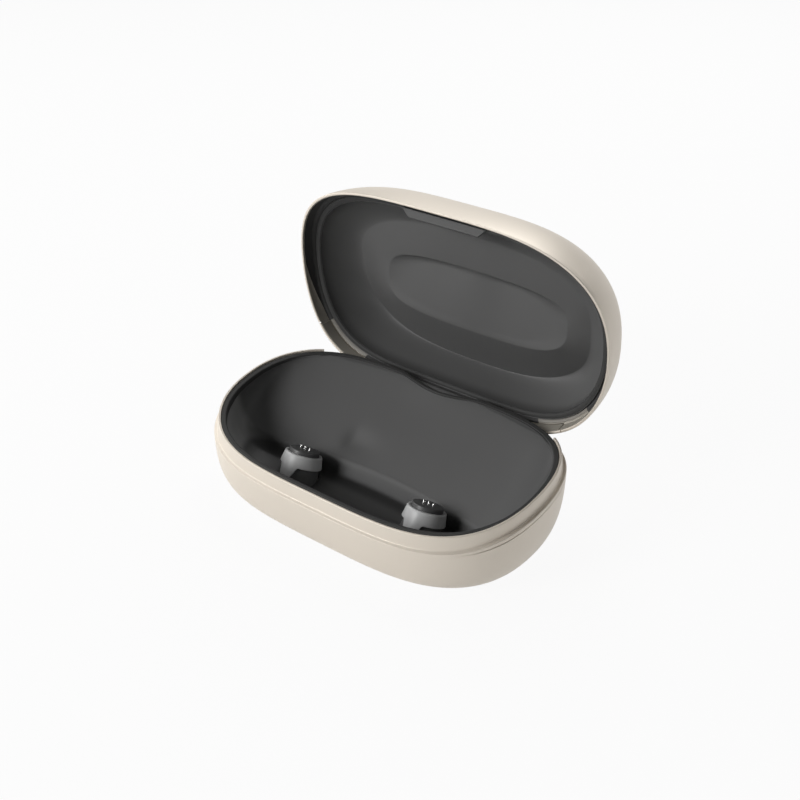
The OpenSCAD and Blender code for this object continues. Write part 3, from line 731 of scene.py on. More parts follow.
def base_swell(u):
    """Outline at a share u of the shell's height, against the outline of the ledge."""
    f = group("case_sizes").foot_scale
    return f + (1 - f) * (1 - (1 - u) ** 2.5) ** (1 / 3.5)


def base_ring(t, inset, lift, u, drop=0.0):
    """Ring of the base shell at a share u of its height above lift."""
    return with_height(edge(t, inset) * base_swell(u), lift + u * (shell_top(t) - lift) - drop)


class CASE_OT_base_shell(Operator):
    """Cream cup of the base, with the opening for the inlet"""
    bl_idname = "case.base_shell"
    bl_label = "Base shell"

    def execute(self, context):
        c = group("case_sizes")
        t = full_turn()
        floor_in = c.foot + c.wall
        rows, inner_rows = 36, 10
        bottom = [with_height(edge(t, 0) * s, c.foot) for s in (0.02, 0.2, 0.4, 0.6, 0.72)]
        outer = [base_ring(t, 0, c.foot, (k / rows) ** 2) for k in range(rows)]
        soft = (0.02 + 0.98 * end_share(t)) * MM
        lip = [base_ring(t, i * soft, c.foot, 1, d * soft) for i, d in
               ((0, 0.22), (0.015, 0.14), (0.06, 0.06), (0.14, 0.015), (0.22, 0))]
        inner = [base_ring(t, c.wall, floor_in, (k / inner_rows) ** 2) for k in range(inner_rows, -1, -1)]
        inside = [with_height(edge(t, c.wall) * s, floor_in) for s in (0.6, 0.3, 0.02)]
        mesh = loft_mesh("base_cup", bottom + outer + lip + inner + inside, caps=("fan", "fan"))
        obj = finished("base_cup", mesh, "shell_cream")
        low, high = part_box("usb_socket")
        wide, tall = high.x - low.x + PORT_ROOM, high.z - low.z + PORT_ROOM
        cut(obj, [rounded_slot("port", wide, tall, PORT_DEPTH, (0, high.y, (low.z + high.z) / 2))])
        ride(obj, "base", "shell_cream", "base_shell")
        return {"FINISHED"}


class CASE_OT_base_collar(Operator):
    """Cream ledge with its gutter and the neck that the lid closes over"""
    bl_idname = "case.base_collar"
    bl_label = "Neck ring"

    def execute(self, context):
        c, h = group("case_sizes"), group("hinge_sizes")
        n = c.neck / MM
        gutter = [(0, -1.0), (0, -0.34), (0.025, -0.2), (0.09, -0.07), (0.2, -0.01), (0.32, 0.0),
                  (0.46, -0.03), (0.62, -0.1), (0.78, -0.13), (0.9, -0.09), (0.97, 0.02), (1.0, 0.2), (1.08, 1.0)]
        smooth = [(0, -1.0), (0, -0.46), (0.006, -0.41), (0.02, -0.37), (0.045, -0.34), (0.08, -0.32),
                  (0.25, -0.225), (0.45, -0.11), (0.63, -0.01), (0.69, 0.04), (0.73, 0.11), (0.755, 0.22),
                  (0.86, 1.0)]
        neck = [(1.2, n - 1), (1.3, n - 0.25), (1.33, n - 0.12), (1.4, n - 0.03), (1.5, n), (1.75, n),
                (1.84, n - 0.03), (1.89, n - 0.1), (1.9, n - 0.2), (1.9, -1.0)]
        turns = arc(math.pi - h.notch, 2 * math.pi + h.notch)
        k = end_share(turns)

        def place(a, b):
            inset, dz = (a[0] + (b[0] - a[0]) * k) * MM, (a[1] + (b[1] - a[1]) * k) * MM
            return with_height(edge(turns, inset), ledge(edge(turns, 0)) + dz)

        loops = [place(a, b) for a, b in zip(smooth + neck, gutter + neck)]
        mesh = loft_mesh("neck_ring", np.stack(loops, 1), caps=("face", "face"))
        piece("neck_ring", mesh, "shell_cream", "base", "shell_cream", "base_collar")
        return {"FINISHED"}


# Bow of the ridge, and place, depth and widths of the dimple
RIDGE_BACK, RIDGE_BOW, RIDGE_SPAN = 0.7 * MM, 3.8 * MM, 33 * MM
DIMPLE_X, DIMPLE_Y, DIMPLE_DEPTH = -14.2 * MM, 3.9 * MM, 0.8 * MM
DIMPLE_LEFT, DIMPLE_RIGHT, DIMPLE_ACROSS = 2.4 * MM, 7.0 * MM, 3.2 * MM
# Exponents of the tray's wall along and across, and the least depth below the edge
WALL_ALONG, WALL_ACROSS, LEAST_DEPTH = 2.4, 10, 0.4 * MM
# The tray's underside: how far it stands outside the seen wall and below the seen floor
UNDER_IN, UNDER_DROP = 1.0 * MM, 0.7 * MM


def tray_dip(t):
    """Share of the soft dip in the middle of the rear edge."""
    x = edge(t, 0)[..., 0] / group("tray_sizes").dip_length
    return np.where(np.sin(t) < 0, 0, np.clip(1 - x * x, 0, 1) ** 1.4)


def tray_floor(p):
    """Height of trough, ridge and ramp, with the soft dimple on the ramp."""
    s = group("tray_sizes")
    x, y = p[..., 0], p[..., 1]
    y = y + RIDGE_BACK + RIDGE_BOW * (x / RIDGE_SPAN) ** 2
    v = np.clip(-y / s.fall, 0, 1)
    drop = s.ridge + (s.trough - s.ridge) * ease(v) - s.ramp * s.fall * v * (1 - v) ** 2
    floor = np.where(y > 0, s.ridge + s.ramp * y, drop)
    side = x - DIMPLE_X
    far = (side / np.where(side < 0, DIMPLE_LEFT, DIMPLE_RIGHT)) ** 2
    far = far + ((p[..., 1] - DIMPLE_Y) / DIMPLE_ACROSS) ** 2
    return floor - DIMPLE_DEPTH * np.exp(-far)


def tray_share(k):
    """How far down the wall the tray has drawn in to k of its outline."""
    return (1 - k ** WALL_ACROSS) ** (1 / WALL_ALONG)


def tray_rim(t, e):
    """Height of the top of the tray's edge."""
    s = group("tray_sizes")
    return ledge(e) + s.rim - s.dip * tray_dip(t)


def tray_ring(t, inset, b, drop=0.0):
    """Ring of the tray: b is 0 at the edge and 1 at the floor."""
    e = edge(t, inset)
    p = e * ((1 - b ** WALL_ALONG) ** (1 / WALL_ACROSS))[..., None]
    rim = tray_rim(t, e)
    return with_height(p, rim + (np.minimum(tray_floor(p), rim - LEAST_DEPTH) - rim) * b - drop)


class CASE_OT_tray(Operator):
    """Dark tray with trough, ramp, rounded edge and holes for the posts"""
    bl_idname = "case.tray"
    bl_label = "Tray"

    def execute(self, context):
        s = group("tray_sizes")
        t = np.radians(np.arange(0.0, 360.0))
        zero = np.zeros_like(t)
        dip = tray_dip(t)
        outer = s.inset + s.dip_back * dip
        inner = outer + s.wall
        scales = np.concatenate([np.linspace(0.02, 0.7, 46), (0.76, 0.82, 0.87, 0.92, 0.95, 0.97, 0.99)])
        under = [tray_ring(t, inner - UNDER_IN, tray_share(k) + zero, UNDER_DROP) for k in scales]
        under.append(tray_ring(t, inner - UNDER_IN, zero, s.edge_wall))
        rim = [tray_ring(t, outer, zero, s.edge_wall)]
        top = tray_rim(t, edge(t, inner))
        depth = top - np.minimum(tray_floor(edge(t, inner)), top - LEAST_DEPTH)
        roll = 0.28 * MM + 0.5 * MM * dip
        for a in np.radians((90, 72, 54, 36, 18, 0)):
            rim.append(tray_ring(t, outer + roll * (1 - math.sin(a)), zero, roll * (1 - math.cos(a))))
        round_r = np.minimum(0.5 * MM, 0.4 * depth)
        for a in np.radians((0, 15, 30, 45, 60, 75, 90)):
            e = edge(t, inner - round_r * (1 - math.sin(a)))
            rim.append(with_height(e, top - round_r * (1 - math.cos(a))))
        first, last = round_r / depth, tray_share(0.86)
        low = tray_ring(t, inner + 0.03 * MM, first + (last - first) * 0.1)
        rim += [low, with_height(edge(t, inner - 0.2 * MM), low[..., 2] - 0.05 * MM)]
        mesh = loft_mesh("tray_edge", rim, loop=True)
        piece("tray_edge", mesh, "edge_dark", "base", "liner_charcoal", "base_liner")
        tucked = with_height(edge(t, inner - 0.15 * MM), top - 0.3 * MM)
        seen = [tray_ring(t, inner, first + (last - first) * g) for g in np.linspace(0.04, 1, 24)]
        seen += [tray_ring(t, inner, tray_share(k) + zero) for k in np.linspace(0.855, 0.012, 70)]
        mesh = loft_mesh("tray", under + [tucked] + seen, caps=("fan", "fan"))
        # the tray's charcoal gets painted shade in the trough and at the right end, and painted light on the
        # trough's front
        obj = finished("tray", mesh, "tray_charcoal")
        hole = [(0, -16), (5.75, -16), (5.75, -2), (0, -2)]
        cut(obj, [drill(hole, "liner_charcoal", post_place(side), 64) for side in SIDES.values()])
        ride(obj, "base", "liner_charcoal", "base_liner")
        return {"FINISHED"}


class CASE_OT_foot(Operator):
    """Thin rubber pad under the base, with a rounded edge"""
    bl_idname = "case.foot"
    bl_label = "Foot pad"

    def execute(self, context):
        c = group("case_sizes")
        t = full_turn()
        top = c.foot - 0.02 * MM
        rows = [(0.02, 0), (0.4, 0), (0.7, 0), (c.foot_scale + 0.012, 0), (c.foot_scale + 0.018, 0.1 * MM),
                (c.foot_scale + 0.02, top), (0.4, top), (0.02, top)]
        mesh = loft_mesh("foot_sheet", [with_height(edge(t, 0) * k, z) for k, z in rows], caps=("fan", "fan"))
        piece("foot_sheet", mesh, "foot_rubber", "base", "foot_rubber", "foot_pad")
        return {"FINISHED"}


class CASE_OT_inlet(Operator):
    """Power inlet at the rear: metal sleeve and contact tongue"""
    bl_idname = "case.inlet"
    bl_label = "Inlet"

    def execute(self, context):
        low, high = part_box("usb_socket")
        mid, size = (low + high) / 2, high - low
        wall, floor, tongue_edge = 0.3 * MM, 0.8 * MM, 0.12 * MM
        obj = finished("inlet_sleeve", rounded_slot("inlet_sleeve", size.x, size.z, size.y, mid), "steel")
        hollow = (mid.x, mid.y + floor, mid.z)
        cut(obj, [rounded_slot("hollow", size.x - 2 * wall, size.z - 2 * wall, size.y, hollow)])
        ride(obj, "base", "steel", "usb_socket")
        tongue = box_mesh("inlet_tongue", *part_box("usb_tongue"), tongue_edge, 3)
        piece("inlet_tongue", tongue, "chip_black", "base", "chip_black", "usb_tongue")
        return {"FINISHED"}


# Charging posts

def post_place(side):
    """Moves points from a post's own axis, with 0 at the pin tips, to its place."""
    p = group("post_sizes")

    def place(co):
        ca, sa = math.cos(-p.lean), math.sin(-p.lean)
        x, y, z = co[..., 0], co[..., 1], co[..., 2]
        return np.stack([x + side * p.spread, y * ca - z * sa + p.tip_y, y * sa + z * ca + p.tip_z], -1)
    return place


def pin_place(side, k):
    """Moves points from a contact pin's own axis to its place, with k from -1 to 1 along the row of three."""
    place, pitch = post_place(side), group("post_sizes").pitch
    return lambda co: place(co + np.array([k * pitch, 0, 0]))


def post_r(a):
    """Radius of a post at a millimetres below the pin tips."""
    return (4.35 + 0.2 * (a - 2.0)) * MM


def clip_low(x):
    """Lower edge of the clip along its girth: the tab in front and the soft corners beside it."""
    return (5.4 + 3.1 * (1 - ease((np.abs(x) / MM - 1.15) / 2.1))) * MM


class CASE_OT_posts(Operator):
    """Leaning posts with their caps and the grey clips"""
    bl_idname = "case.posts"
    bl_label = "Charging posts"

    def execute(self, context):
        for name, side in SIDES.items():
            self.post(name, post_place(side))
            self.cap(name, side)
            self.clip(name, post_place(side))
        return {"FINISHED"}

    def post(self, name, place):
        """Hollow post, cut off level above the floor of the shell."""
        rows = [(3.4, -15), (3.4, -2.75), (3.5, -2.66)] + [(post_r(a) / MM, -a) for a in (2.7, 4, 6, 8)]
        rows += [(5.55, -10.5), (5.55, -15)]
        obj = turned("post_body_" + name, mm(rows), "liner_charcoal", place)
        c = group("case_sizes")
        floor, height = c.foot + c.wall + 0.15 * MM, 20 * MM
        x, y, _ = place(np.zeros((1, 3)))[0]
        cut(obj, [rounded_slot("block", 40 * MM, height, 60 * MM, (x, y, floor - height / 2))])
        ride(obj, "base", "liner_charcoal", "post_" + name)

    def cap(self, name, side):
        """Cap with three holes for the pins."""
        rows = [(0, -2.6), (4.2, -2.6), (4.2, -1.2), (4.17, -1.05), (4.08, -0.95), (3.95, -0.9), (0, -0.9)]
        obj = turned("post_top_" + name, mm(rows), "cap_grey", post_place(side), closed=False)
        hole = [(0, -2.8), (0.36, -2.8), (0.36, -0.7), (0, -0.7)]
        cut(obj, [drill(hole, "cap_grey", pin_place(side, k), 32) for k in (-1, 0, 1)])
        ride(obj, "base", "cap_grey", "post_cap_" + name)

    def clip(self, name, place):
        """Grey ring with rounded edges and the tab in front."""
        thick, gap, soft, top, girth = 0.75 * MM, 0.08 * MM, 0.22 * MM, 2.0 * MM, 5.9 * MM
        turn = np.radians(np.arange(0, 360, 1.0))
        front = (turn - 1.5 * math.pi + math.pi) % (2 * math.pi) - math.pi
        low = clip_low(front * girth)
        corner = [(0.0, 0), (0.45, 0), (0.75, 0.1), (0.92, 0.4), (1.0, 1)]
        loops = [(gap + thick * share, np.full_like(turn, top + d * soft)) for share, d in corner]
        loops += [(gap + thick, top + soft + (low - 2 * soft - top) * k) for k in np.linspace(0.12, 0.96, 12)]
        loops += [(gap + thick * share, low - d * soft) for share, d in corner[::-1]]
        rings = []
        for out, a in loops:
            r = post_r(a / MM) + out
            rings.append(place(np.stack([r * np.cos(turn), r * np.sin(turn), -a], -1)))
        mesh = loft_mesh("post_grip_" + name, rings, loop=True)
        piece("post_grip_" + name, mesh, "clip_grey", "base", "clip_grey", "post_clip_" + name)


class CASE_OT_contact_pins(Operator):
    """Sprung contact pins with round tips, and the barrels that they slide in"""
    bl_idname = "case.contact_pins"
    bl_label = "Contact pins"

    def execute(self, context):
        r = group("post_sizes").pin / MM
        tip = [(r * math.sin(a), -r + r * math.cos(a)) for a in np.radians(np.linspace(0, 90, 9))]
        pin = tip + [(r, -3.25), (0.42, -3.3), (0.45, -3.33), (0.45, -4.87), (0.42, -4.9), (0, -4.9)]
        barrel = [(0.32, -2.75), (0.62, -2.75), (0.65, -2.78), (0.65, -6.47), (0.62, -6.5), (0, -6.5),
                  (0, -6.2), (0.47, -6.2), (0.47, -3.25), (0.32, -3.25)]
        for name, side in SIDES.items():
            for k in (-1, 0, 1):
                label, place = f"{name}_{k + 2}", pin_place(side, k)
                obj = turned("pin_" + label, mm(pin), "pin_metal", place, closed=False, segments=40)
                ride(obj, "pin_" + label, "pin_metal", "contact_pin_" + label)
                tube = turned("barrel_" + label, mm(barrel), "barrel_brass", place, segments=32)
                ride(tube, "base", "barrel_brass", "pin_barrels_" + name)
        return {"FINISHED"}


# Lid

# Exponents of the dome in its height and across
DOME_UP, DOME_ACROSS = 1.85, 6


def dome_scale(h):
    """Outline at a share h of the dome's height, against the outline of the ledge."""
    return (1 - np.minimum(h, 0.999999) ** DOME_UP) ** (1 / DOME_ACROSS)


def lid_ring(t, inset, dz, height=None):
    """Ring of the closed lid at dz above the ledge."""
    height = height or group("lid_sizes").dome
    k = dome_scale(dz / height)[..., None]
    return with_height(edge(t, inset) * k, ledge(edge(t, 0) * k) + dz)


def lid_foot(t):
    """Lower edge of the lid shell, which is cut back along the hinge."""
    lid, h = group("lid_sizes"), group("hinge_sizes")
    inside = (t > h.seam_right - 1e-6) & (t < h.seam_left + 1e-6)
    return np.where(inside, lid.rim, lid.gap)


class CASE_OT_lid_shell(Operator):
    """Cream dome of the lid with its rounded edge"""
    bl_idname = "case.lid_shell"
    bl_label = "Lid shell"

    def execute(self, context):
        lid, h = group("lid_sizes"), group("hinge_sizes")
        t = full_turn(h.seam_right, h.seam_left)
        foot = lid_foot(t)
        wall, skirt_end = 1.3 * MM, 6.4 * MM
        inner_h, inner_foot = lid.dome - wall, skirt_end + 0.7 * MM
        lifts = [inner_foot + (inner_h - inner_foot) * math.sin(math.radians(k * 8.6)) for k in range(10, -1, -1)]
        inner = [lid_ring(t, wall, lift + 0 * t, inner_h) for lift in lifts]
        skirt = [lid_ring(t, lid.skirt, z + 0 * t) for z in (skirt_end, 5.6 * MM, 4.8 * MM)]
        skirt += [lid_ring(t, lid.skirt, foot + (4.5 * MM - foot) * k) for k in (0.7, 0.4)]
        lip = [lid_ring(t, lid.skirt - i * MM, foot + d * MM) for i, d in
               ((0, 0.2), (0.02, 0.1), (0.08, 0.025), (0.18, 0))]
        lip += [lid_ring(t, i * MM, foot + d * MM) for i, d in ((0.2, 0), (0.09, 0.03), (0.025, 0.1), (0, 0.22))]
        rise = [math.sin(q) ** (2 / DOME_UP) for q in np.radians(np.linspace(3, 86, 42))]
        rise += [(1 - k ** DOME_ACROSS) ** (1 / DOME_UP) for k in np.linspace(0.39, 0.03, 14)]
        start, low = foot + 0.22 * MM, lid.gap + 0.22 * MM
        outer = [lid_ring(t, 0, np.maximum(low + (lid.dome - low) * r, start + 0.01 * MM * k))
                 for k, r in enumerate(rise, 1)]
        mesh = loft_mesh("lid_dome", [lid_open(r) for r in inner + skirt + lip + outer], caps=("fan", "fan"))
        piece("lid_dome", mesh, "shell_cream", "lid", "shell_cream", "lid_shell")
        return {"FINISHED"}


def hinge_place(x0=0.0):
    """Moves points from a turned part's own axis to the hinge line, at x0 along it."""
    y0, z0 = hinge_line()
    return lambda co: np.stack([co[..., 2] + x0, co[..., 0] + y0, co[..., 1] + z0], -1)


def barrel_rows(bore, r, w):
    """Outline of a knuckle of half length w, with rounded ends."""
    soft, part = 0.2 * MM, 0.06 * MM
    return [(bore, -w), (r - soft, -w), (r - part, part - w), (r, soft - w), (r, w - soft), (r - part, w - part),
            (r - soft, w), (bore, w)]


class CASE_OT_lid_rim(Operator):
    """Taupe and dark step inside the lid edge, and the strip behind the hinge with its knuckles"""
    bl_idname = "case.lid_rim"
    bl_label = "Lid rim"

    def execute(self, context):
        lid, h = group("lid_sizes"), group("hinge_sizes")

        def place(t, inset, dz):
            return lid_open(lid_ring(t, inset, dz + 0 * t))

        z, deep = lid.rim / MM, 6.2
        flat = [(1.06, z), (1.36, z), (1.45, z + 0.03), (1.53, z + 0.11), (1.9, z + 0.56), (1.95, z + 0.68),
                (1.94, z + 0.8), (1.45, deep)]
        lip = [(1.06, z), (1.12, z), (1.17, z + 0.03), (1.2, z + 0.1), (1.2, deep)]
        groove = [(1.21, deep), (1.21, z + 0.06), (1.36, z + 0.07), (1.53, z + 0.16), (1.9, z + 0.58),
                  (1.95, z + 0.7), (1.94, z + 0.8), (1.45, deep)]
        hinge = [(0.95, deep), (0.95, z + 0.12), (0.98, z + 0.03)]
        whole = [(0.67, deep), (0.67, 0.6), (0.7, 0.57), (0.73, 0.6), (0.78, z - 0.3), (0.9, z - 0.08),
                 (0.98, z - 0.02)]
        over = math.radians(1)
        left, right = h.seam_left - over, math.pi - h.seam_left
        turns = arc(left, 2 * math.pi + right)
        low = np.clip(1.0 + 0.185 * edge(turns, 0)[..., 1] / MM, 0.9, z - 0.35)
        face = [(0.67, low), (0.67, 0.6), (0.7, 0.57), (0.73, 0.6), (0.73, low - 0.14), (0.77, low - 0.08),
                (0.78, low)]
        dark = [(0.67, deep), (0.67, low + 0.03), (0.72, low + 0.03), (0.78, z - 0.25), (0.9, z - 0.08),
                (0.98, z - 0.02)] + flat
        parts = [("lid_skirt_face", face, turns, "inner_rim"), ("lid_step", dark, turns, "edge_dark"),
                 ("lid_step_left", hinge + lip, arc(math.pi - h.dark, left), "inner_rim"),
                 ("lid_step_side", whole + lip, arc(right, h.seam_right + over), "inner_rim"),
                 ("lid_step_right", hinge + lip, arc(h.seam_right + over, h.dark), "inner_rim"),
                 ("lid_step_hinge", hinge + flat, arc(h.dark, math.pi - h.dark), "edge_dark"),
                 ("lid_groove_left", groove, arc(math.pi - h.dark, left), "inner_step"),
                 ("lid_groove_right", groove, arc(right, h.dark), "inner_step")]
        for name, corners, t, look in parts:
            piece(name, swept(name, corners, place, t), look, "lid", "shell_cream", "lid_rim")
        self.cover(place, lid, h)
        self.knuckles(h)
        return {"FINISHED"}

    def cover(self, place, lid, h):
        """Strip behind the hinge and its inner face, with room for the middle knuckle."""
        g, deep = lid.gap / MM, 3.95
        section = [(0, deep), (0, g + 0.2), (0.03, g + 0.09), (0.1, g + 0.02), (0.2, g), (0.45, g),
                   (0.55, g + 0.03), (0.62, g + 0.1), (0.64, g + 0.2), (0.64, deep)]
        back = [(0.66, deep), (0.66, g + 0.3), (0.7, g + 0.26), (0.78, g + 0.3), (0.95, 3.7), (0.95, deep)]
        size = np.array([h.barrel_length + 0.6 * MM, 8 * MM, 7.4 * MM])
        centre = np.array([0, group("case_sizes").rear, hinge_line()[1] - 1.2 * MM])
        for name, corners, margin, look in (("lid_back_strip", section, 0.15, "shell_cream"),
                                            ("lid_back_face", back, 1.2, "inner_rim")):
            turns = arc(h.seam_right + math.radians(margin), h.seam_left - math.radians(margin))
            strip = finished(name, swept(name, corners, place, turns), look)
            cut(strip, [box_mesh("gap", centre - size / 2, centre + size / 2, place=lid_open)])
            ride(strip, "lid", "shell_cream", "lid_rear_cover")

    def knuckles(self, h):
        """The lid's two knuckles, each with its web to the strip."""
        y0, z0 = hinge_line()
        width, gap, web_edge = 7 * MM, 0.3 * MM, 0.1 * MM
        for name, side in SIDES.items():
            x0 = side * (h.barrel_length / 2 + gap + width / 2)
            place = hinge_place(x0)
            obj = turned("lid_knuckle_" + name, barrel_rows(h.pin + 0.05 * MM, h.barrel, width / 2), "shell_cream",
                         lambda co: lid_open(place(co)), segments=64)
            ride(obj, "lid", "shell_cream", "lid_rear_cover")
            low = np.array([x0 - width / 2, y0 + h.barrel - 0.6 * MM, z0])
            web = box_mesh("lid_web_" + name, low, low + (width, 1.1 * MM, 2.6 * MM), web_edge, place=lid_open)
            piece("lid_web_" + name, web, "shell_cream", "lid", "shell_cream", "lid_rear_cover")


# Exponents of the outlines of recess and ceiling, and rise of the recess edge at the front
RECESS_ROUND, CREST_ROUND, FRONT_RISE = 3.2, 2.7, 0.55 * MM
# How far in from the outline the seen face and the back of the liner begin
LINING_IN, LINING_BACK = 3.35 * MM, 2.05 * MM


def recess_edge(t, share):
    """Outline of the recess, or of a smaller one inside it."""
    lid = group("lid_sizes")
    return np.stack([lid.recess_x + share * lid.recess_length * np.cos(t),
                     lid.recess_y + share * lid.recess_width * arch(t, RECESS_ROUND, RECESS_ROUND)], -1)


def crest_edge(t):
    """Outline at which the wall of the cavity turns into its ceiling."""
    lid = group("lid_sizes")
    width = np.where(np.sin(t) < 0, lid.crest_front, lid.crest_rear)
    return np.stack([lid.crest_length * np.cos(t), width * arch(t, CREST_ROUND, CREST_ROUND)], -1)


def hinge_side(t):
    """0 at the front of the ceiling and 1 at the hinge side."""
    return ease(np.sin(t) + 0.35)


def crest_depth(t):
    """Depth at which the wall of the cavity ends."""
    lid = group("lid_sizes")
    return lid.liner + lid.crest + lid.groove * hinge_side(t)


def recess_rim_depth(t):
    """Depth of the ceiling along the edge of the recess."""
    lid = group("lid_sizes")
    k = hinge_side(t)
    return lid.liner + lid.crest + FRONT_RISE * (1 - k) + (lid.groove - lid.lip) * k


def recess_depth(p):
    """Depth of the tilted recess floor, which is hollowed at both sides of the middle."""
    lid = group("lid_sizes")
    near = lid.liner + lid.crest + lid.groove - lid.lip
    hollow = lid.recess * (1 - 0.7 * np.exp(-((p[..., 0] - lid.recess_x) / (7 * MM)) ** 2))
    far = lid.liner + lid.crest + FRONT_RISE + hollow
    k = np.clip((lid.recess_y + lid.recess_width - p[..., 1]) / (2 * lid.recess_width), 0, 1)
    return near + (far - near) * k


def lining_edge(t, inset):
    """Outline of the closed lid at the height of the liner's edge."""
    lid = group("lid_sizes")
    return edge(t, inset) * dome_scale(lid.liner / lid.dome)


def on_lid(p, dz):
    """Points of the closed lid at dz above the ledge."""
    return with_height(p, ledge(p) + dz)


class CASE_OT_lid_liner(Operator):
    """Dark lid liner: rounded wall, crest, groove and the long recess"""
    bl_idname = "case.lid_liner"
    bl_label = "Lid liner"

    def execute(self, context):
        t = full_turn()
        rim = self.rim(t)
        mesh = loft_mesh("lid_lining_edge", [lid_open(r) for r in rim], loop=True)
        piece("lid_lining_edge", mesh, "edge_dark", "lid", "liner_charcoal", "lid_liner")
        steps, inner = np.linspace(0.03, 1, 26), (*np.linspace(0.99, 0.76, 20), *np.linspace(0.72, 0.02, 24))
        seen = self.ceiling(t, LINING_IN, 0.0, np.linspace(8, 90, 30), steps, inner)
        back = self.ceiling(t, LINING_BACK, 0.6 * MM, np.linspace(0, 90, 9), (0.3, 0.65, 1), (0.9, 0.78, 0.4, 0.05))
        rings = [lid_open(r) for r in back[::-1] + [rim[-1]] + seen]
        mesh = loft_mesh("lid_lining", rings, caps=("fan", "fan"))
        # the lining's charcoal gets painted shade on the walls near its edge
        piece("lid_lining", mesh, "lid_charcoal", "lid", "liner_charcoal", "lid_liner")
        return {"FINISHED"}

    def rim(self, t):
        """Rounded edge of the liner, from rows of inset and depth in millimetres."""
        liner = group("lid_sizes").liner
        rows = [(2.05, 0.45), (2.07, 0.28), (2.12, 0.16), (2.22, 0.1), (2.4, 0.12), (2.65, 0.19), (2.9, 0.29),
                (3.1, 0.4), (3.26, 0.53), (3.3, 0.62), (3.1, 0.75)]
        return [on_lid(lining_edge(t, i), liner + d) for i, d in mm(rows)]

    def ceiling(self, t, inset, lift, turns, steps, inner):
        """Wall, ring about the recess and recess, lifted above the seen face for the back."""
        lid = group("lid_sizes")
        bend, slope_share, slope_bend = 2 / 1.4, 0.24, 2.2
        a, c, o = lining_edge(t, inset), crest_edge(t), recess_edge(t, 1)
        crest, rim = crest_depth(t), recess_rim_depth(t)
        rings = [on_lid(a + (c - a) * (1 - max(0, math.cos(q)) ** bend),
                        lid.liner + (crest - lid.liner + lift) * math.sin(q) ** bend) for q in np.radians(turns)]
        rings += [on_lid(c + (o - c) * f, crest + (rim - crest) * f + lift) for f in steps]
        for f in inner:
            p = recess_edge(t, f)
            k = 1 - (1 - min(1, (1 - f) / slope_share)) ** slope_bend
            rings.append(on_lid(p, rim * (1 - k) + recess_depth(p) * k + lift))
        return rings


class CASE_OT_lid_catch(Operator):
    """Dark block behind the front edge of the lid, which holds the magnets"""
    bl_idname = "case.lid_catch"
    bl_label = "Catch block"

    def execute(self, context):
        c, lid = group("case_sizes"), group("lid_sizes")
        z0 = c.ledge - c.slope * c.front + lid.liner + 0.02 * MM
        top, reach, half, slant, slant_in = 4.4 * MM, 2.6 * MM, 13 * MM, 2.1 * MM, 2.2 * MM
        front = np.array([1.5 * math.pi])
        a, crest = lining_edge(front, LINING_IN)[0][1], crest_edge(front)[0][1]
        outline = [(a + (crest - a) * (1 - math.sqrt(1 - (dz / lid.crest) ** 2)) - 0.3 * MM, z0 + dz)
                   for dz in np.linspace(0, top, 8)]
        outline += [(a + reach, z0 + top), (a + reach, z0 + 1.2 * MM), (a + reach - 0.7 * MM, z0)]
        y, z = np.array(outline).T
        x = half - slant * np.maximum(0, (y - y[0]) / slant_in)
        ends = [lid_open(np.stack([side * x, y, z], -1)) for side in (-1, 1)]
        mesh = loft_mesh("catch_block", ends, caps=("face", "face"))
        piece("catch_block", mesh, "liner_charcoal", "lid", "cap_grey", "lid_catch_block")
        return {"FINISHED"}


class CASE_OT_hinge(Operator):
    """Middle knuckle with its plate, and the hinge pin"""
    bl_idname = "case.hinge"
    bl_label = "Hinge"

    def execute(self, context):
        h = group("hinge_sizes")
        rows = barrel_rows(h.pin, h.barrel, h.barrel_length / 2)
        barrel = turned("hinge_barrel", rows, "liner_charcoal", hinge_place(), segments=64)
        ride(barrel, "base", "liner_charcoal", "hinge_bracket")
        w, r, soft = (h.barrel_length + 15 * MM) / 2, h.pin - 0.01 * MM, 0.1 * MM
        rows = [(0, -w), (r - soft, -w), (r, soft - w), (r, w - soft), (r - soft, w), (0, w)]
        pin = turned("hinge_rod", rows, "steel", hinge_place(), closed=False, segments=48)
        ride(pin, "base", "steel", "hinge_pin")
        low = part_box("hinge_bracket")[0]
        half, thick, edge_r = 15 * MM, 1.3 * MM, 0.2 * MM
        top = hinge_line()[1] - h.barrel * 0.9
        plate = box_mesh("hinge_plate", (-half, low.y, low.z), (half, low.y + thick, top), edge_r)
        piece("hinge_plate", plate, "liner_charcoal", "base", "liner_charcoal", "hinge_bracket")
        return {"FINISHED"}


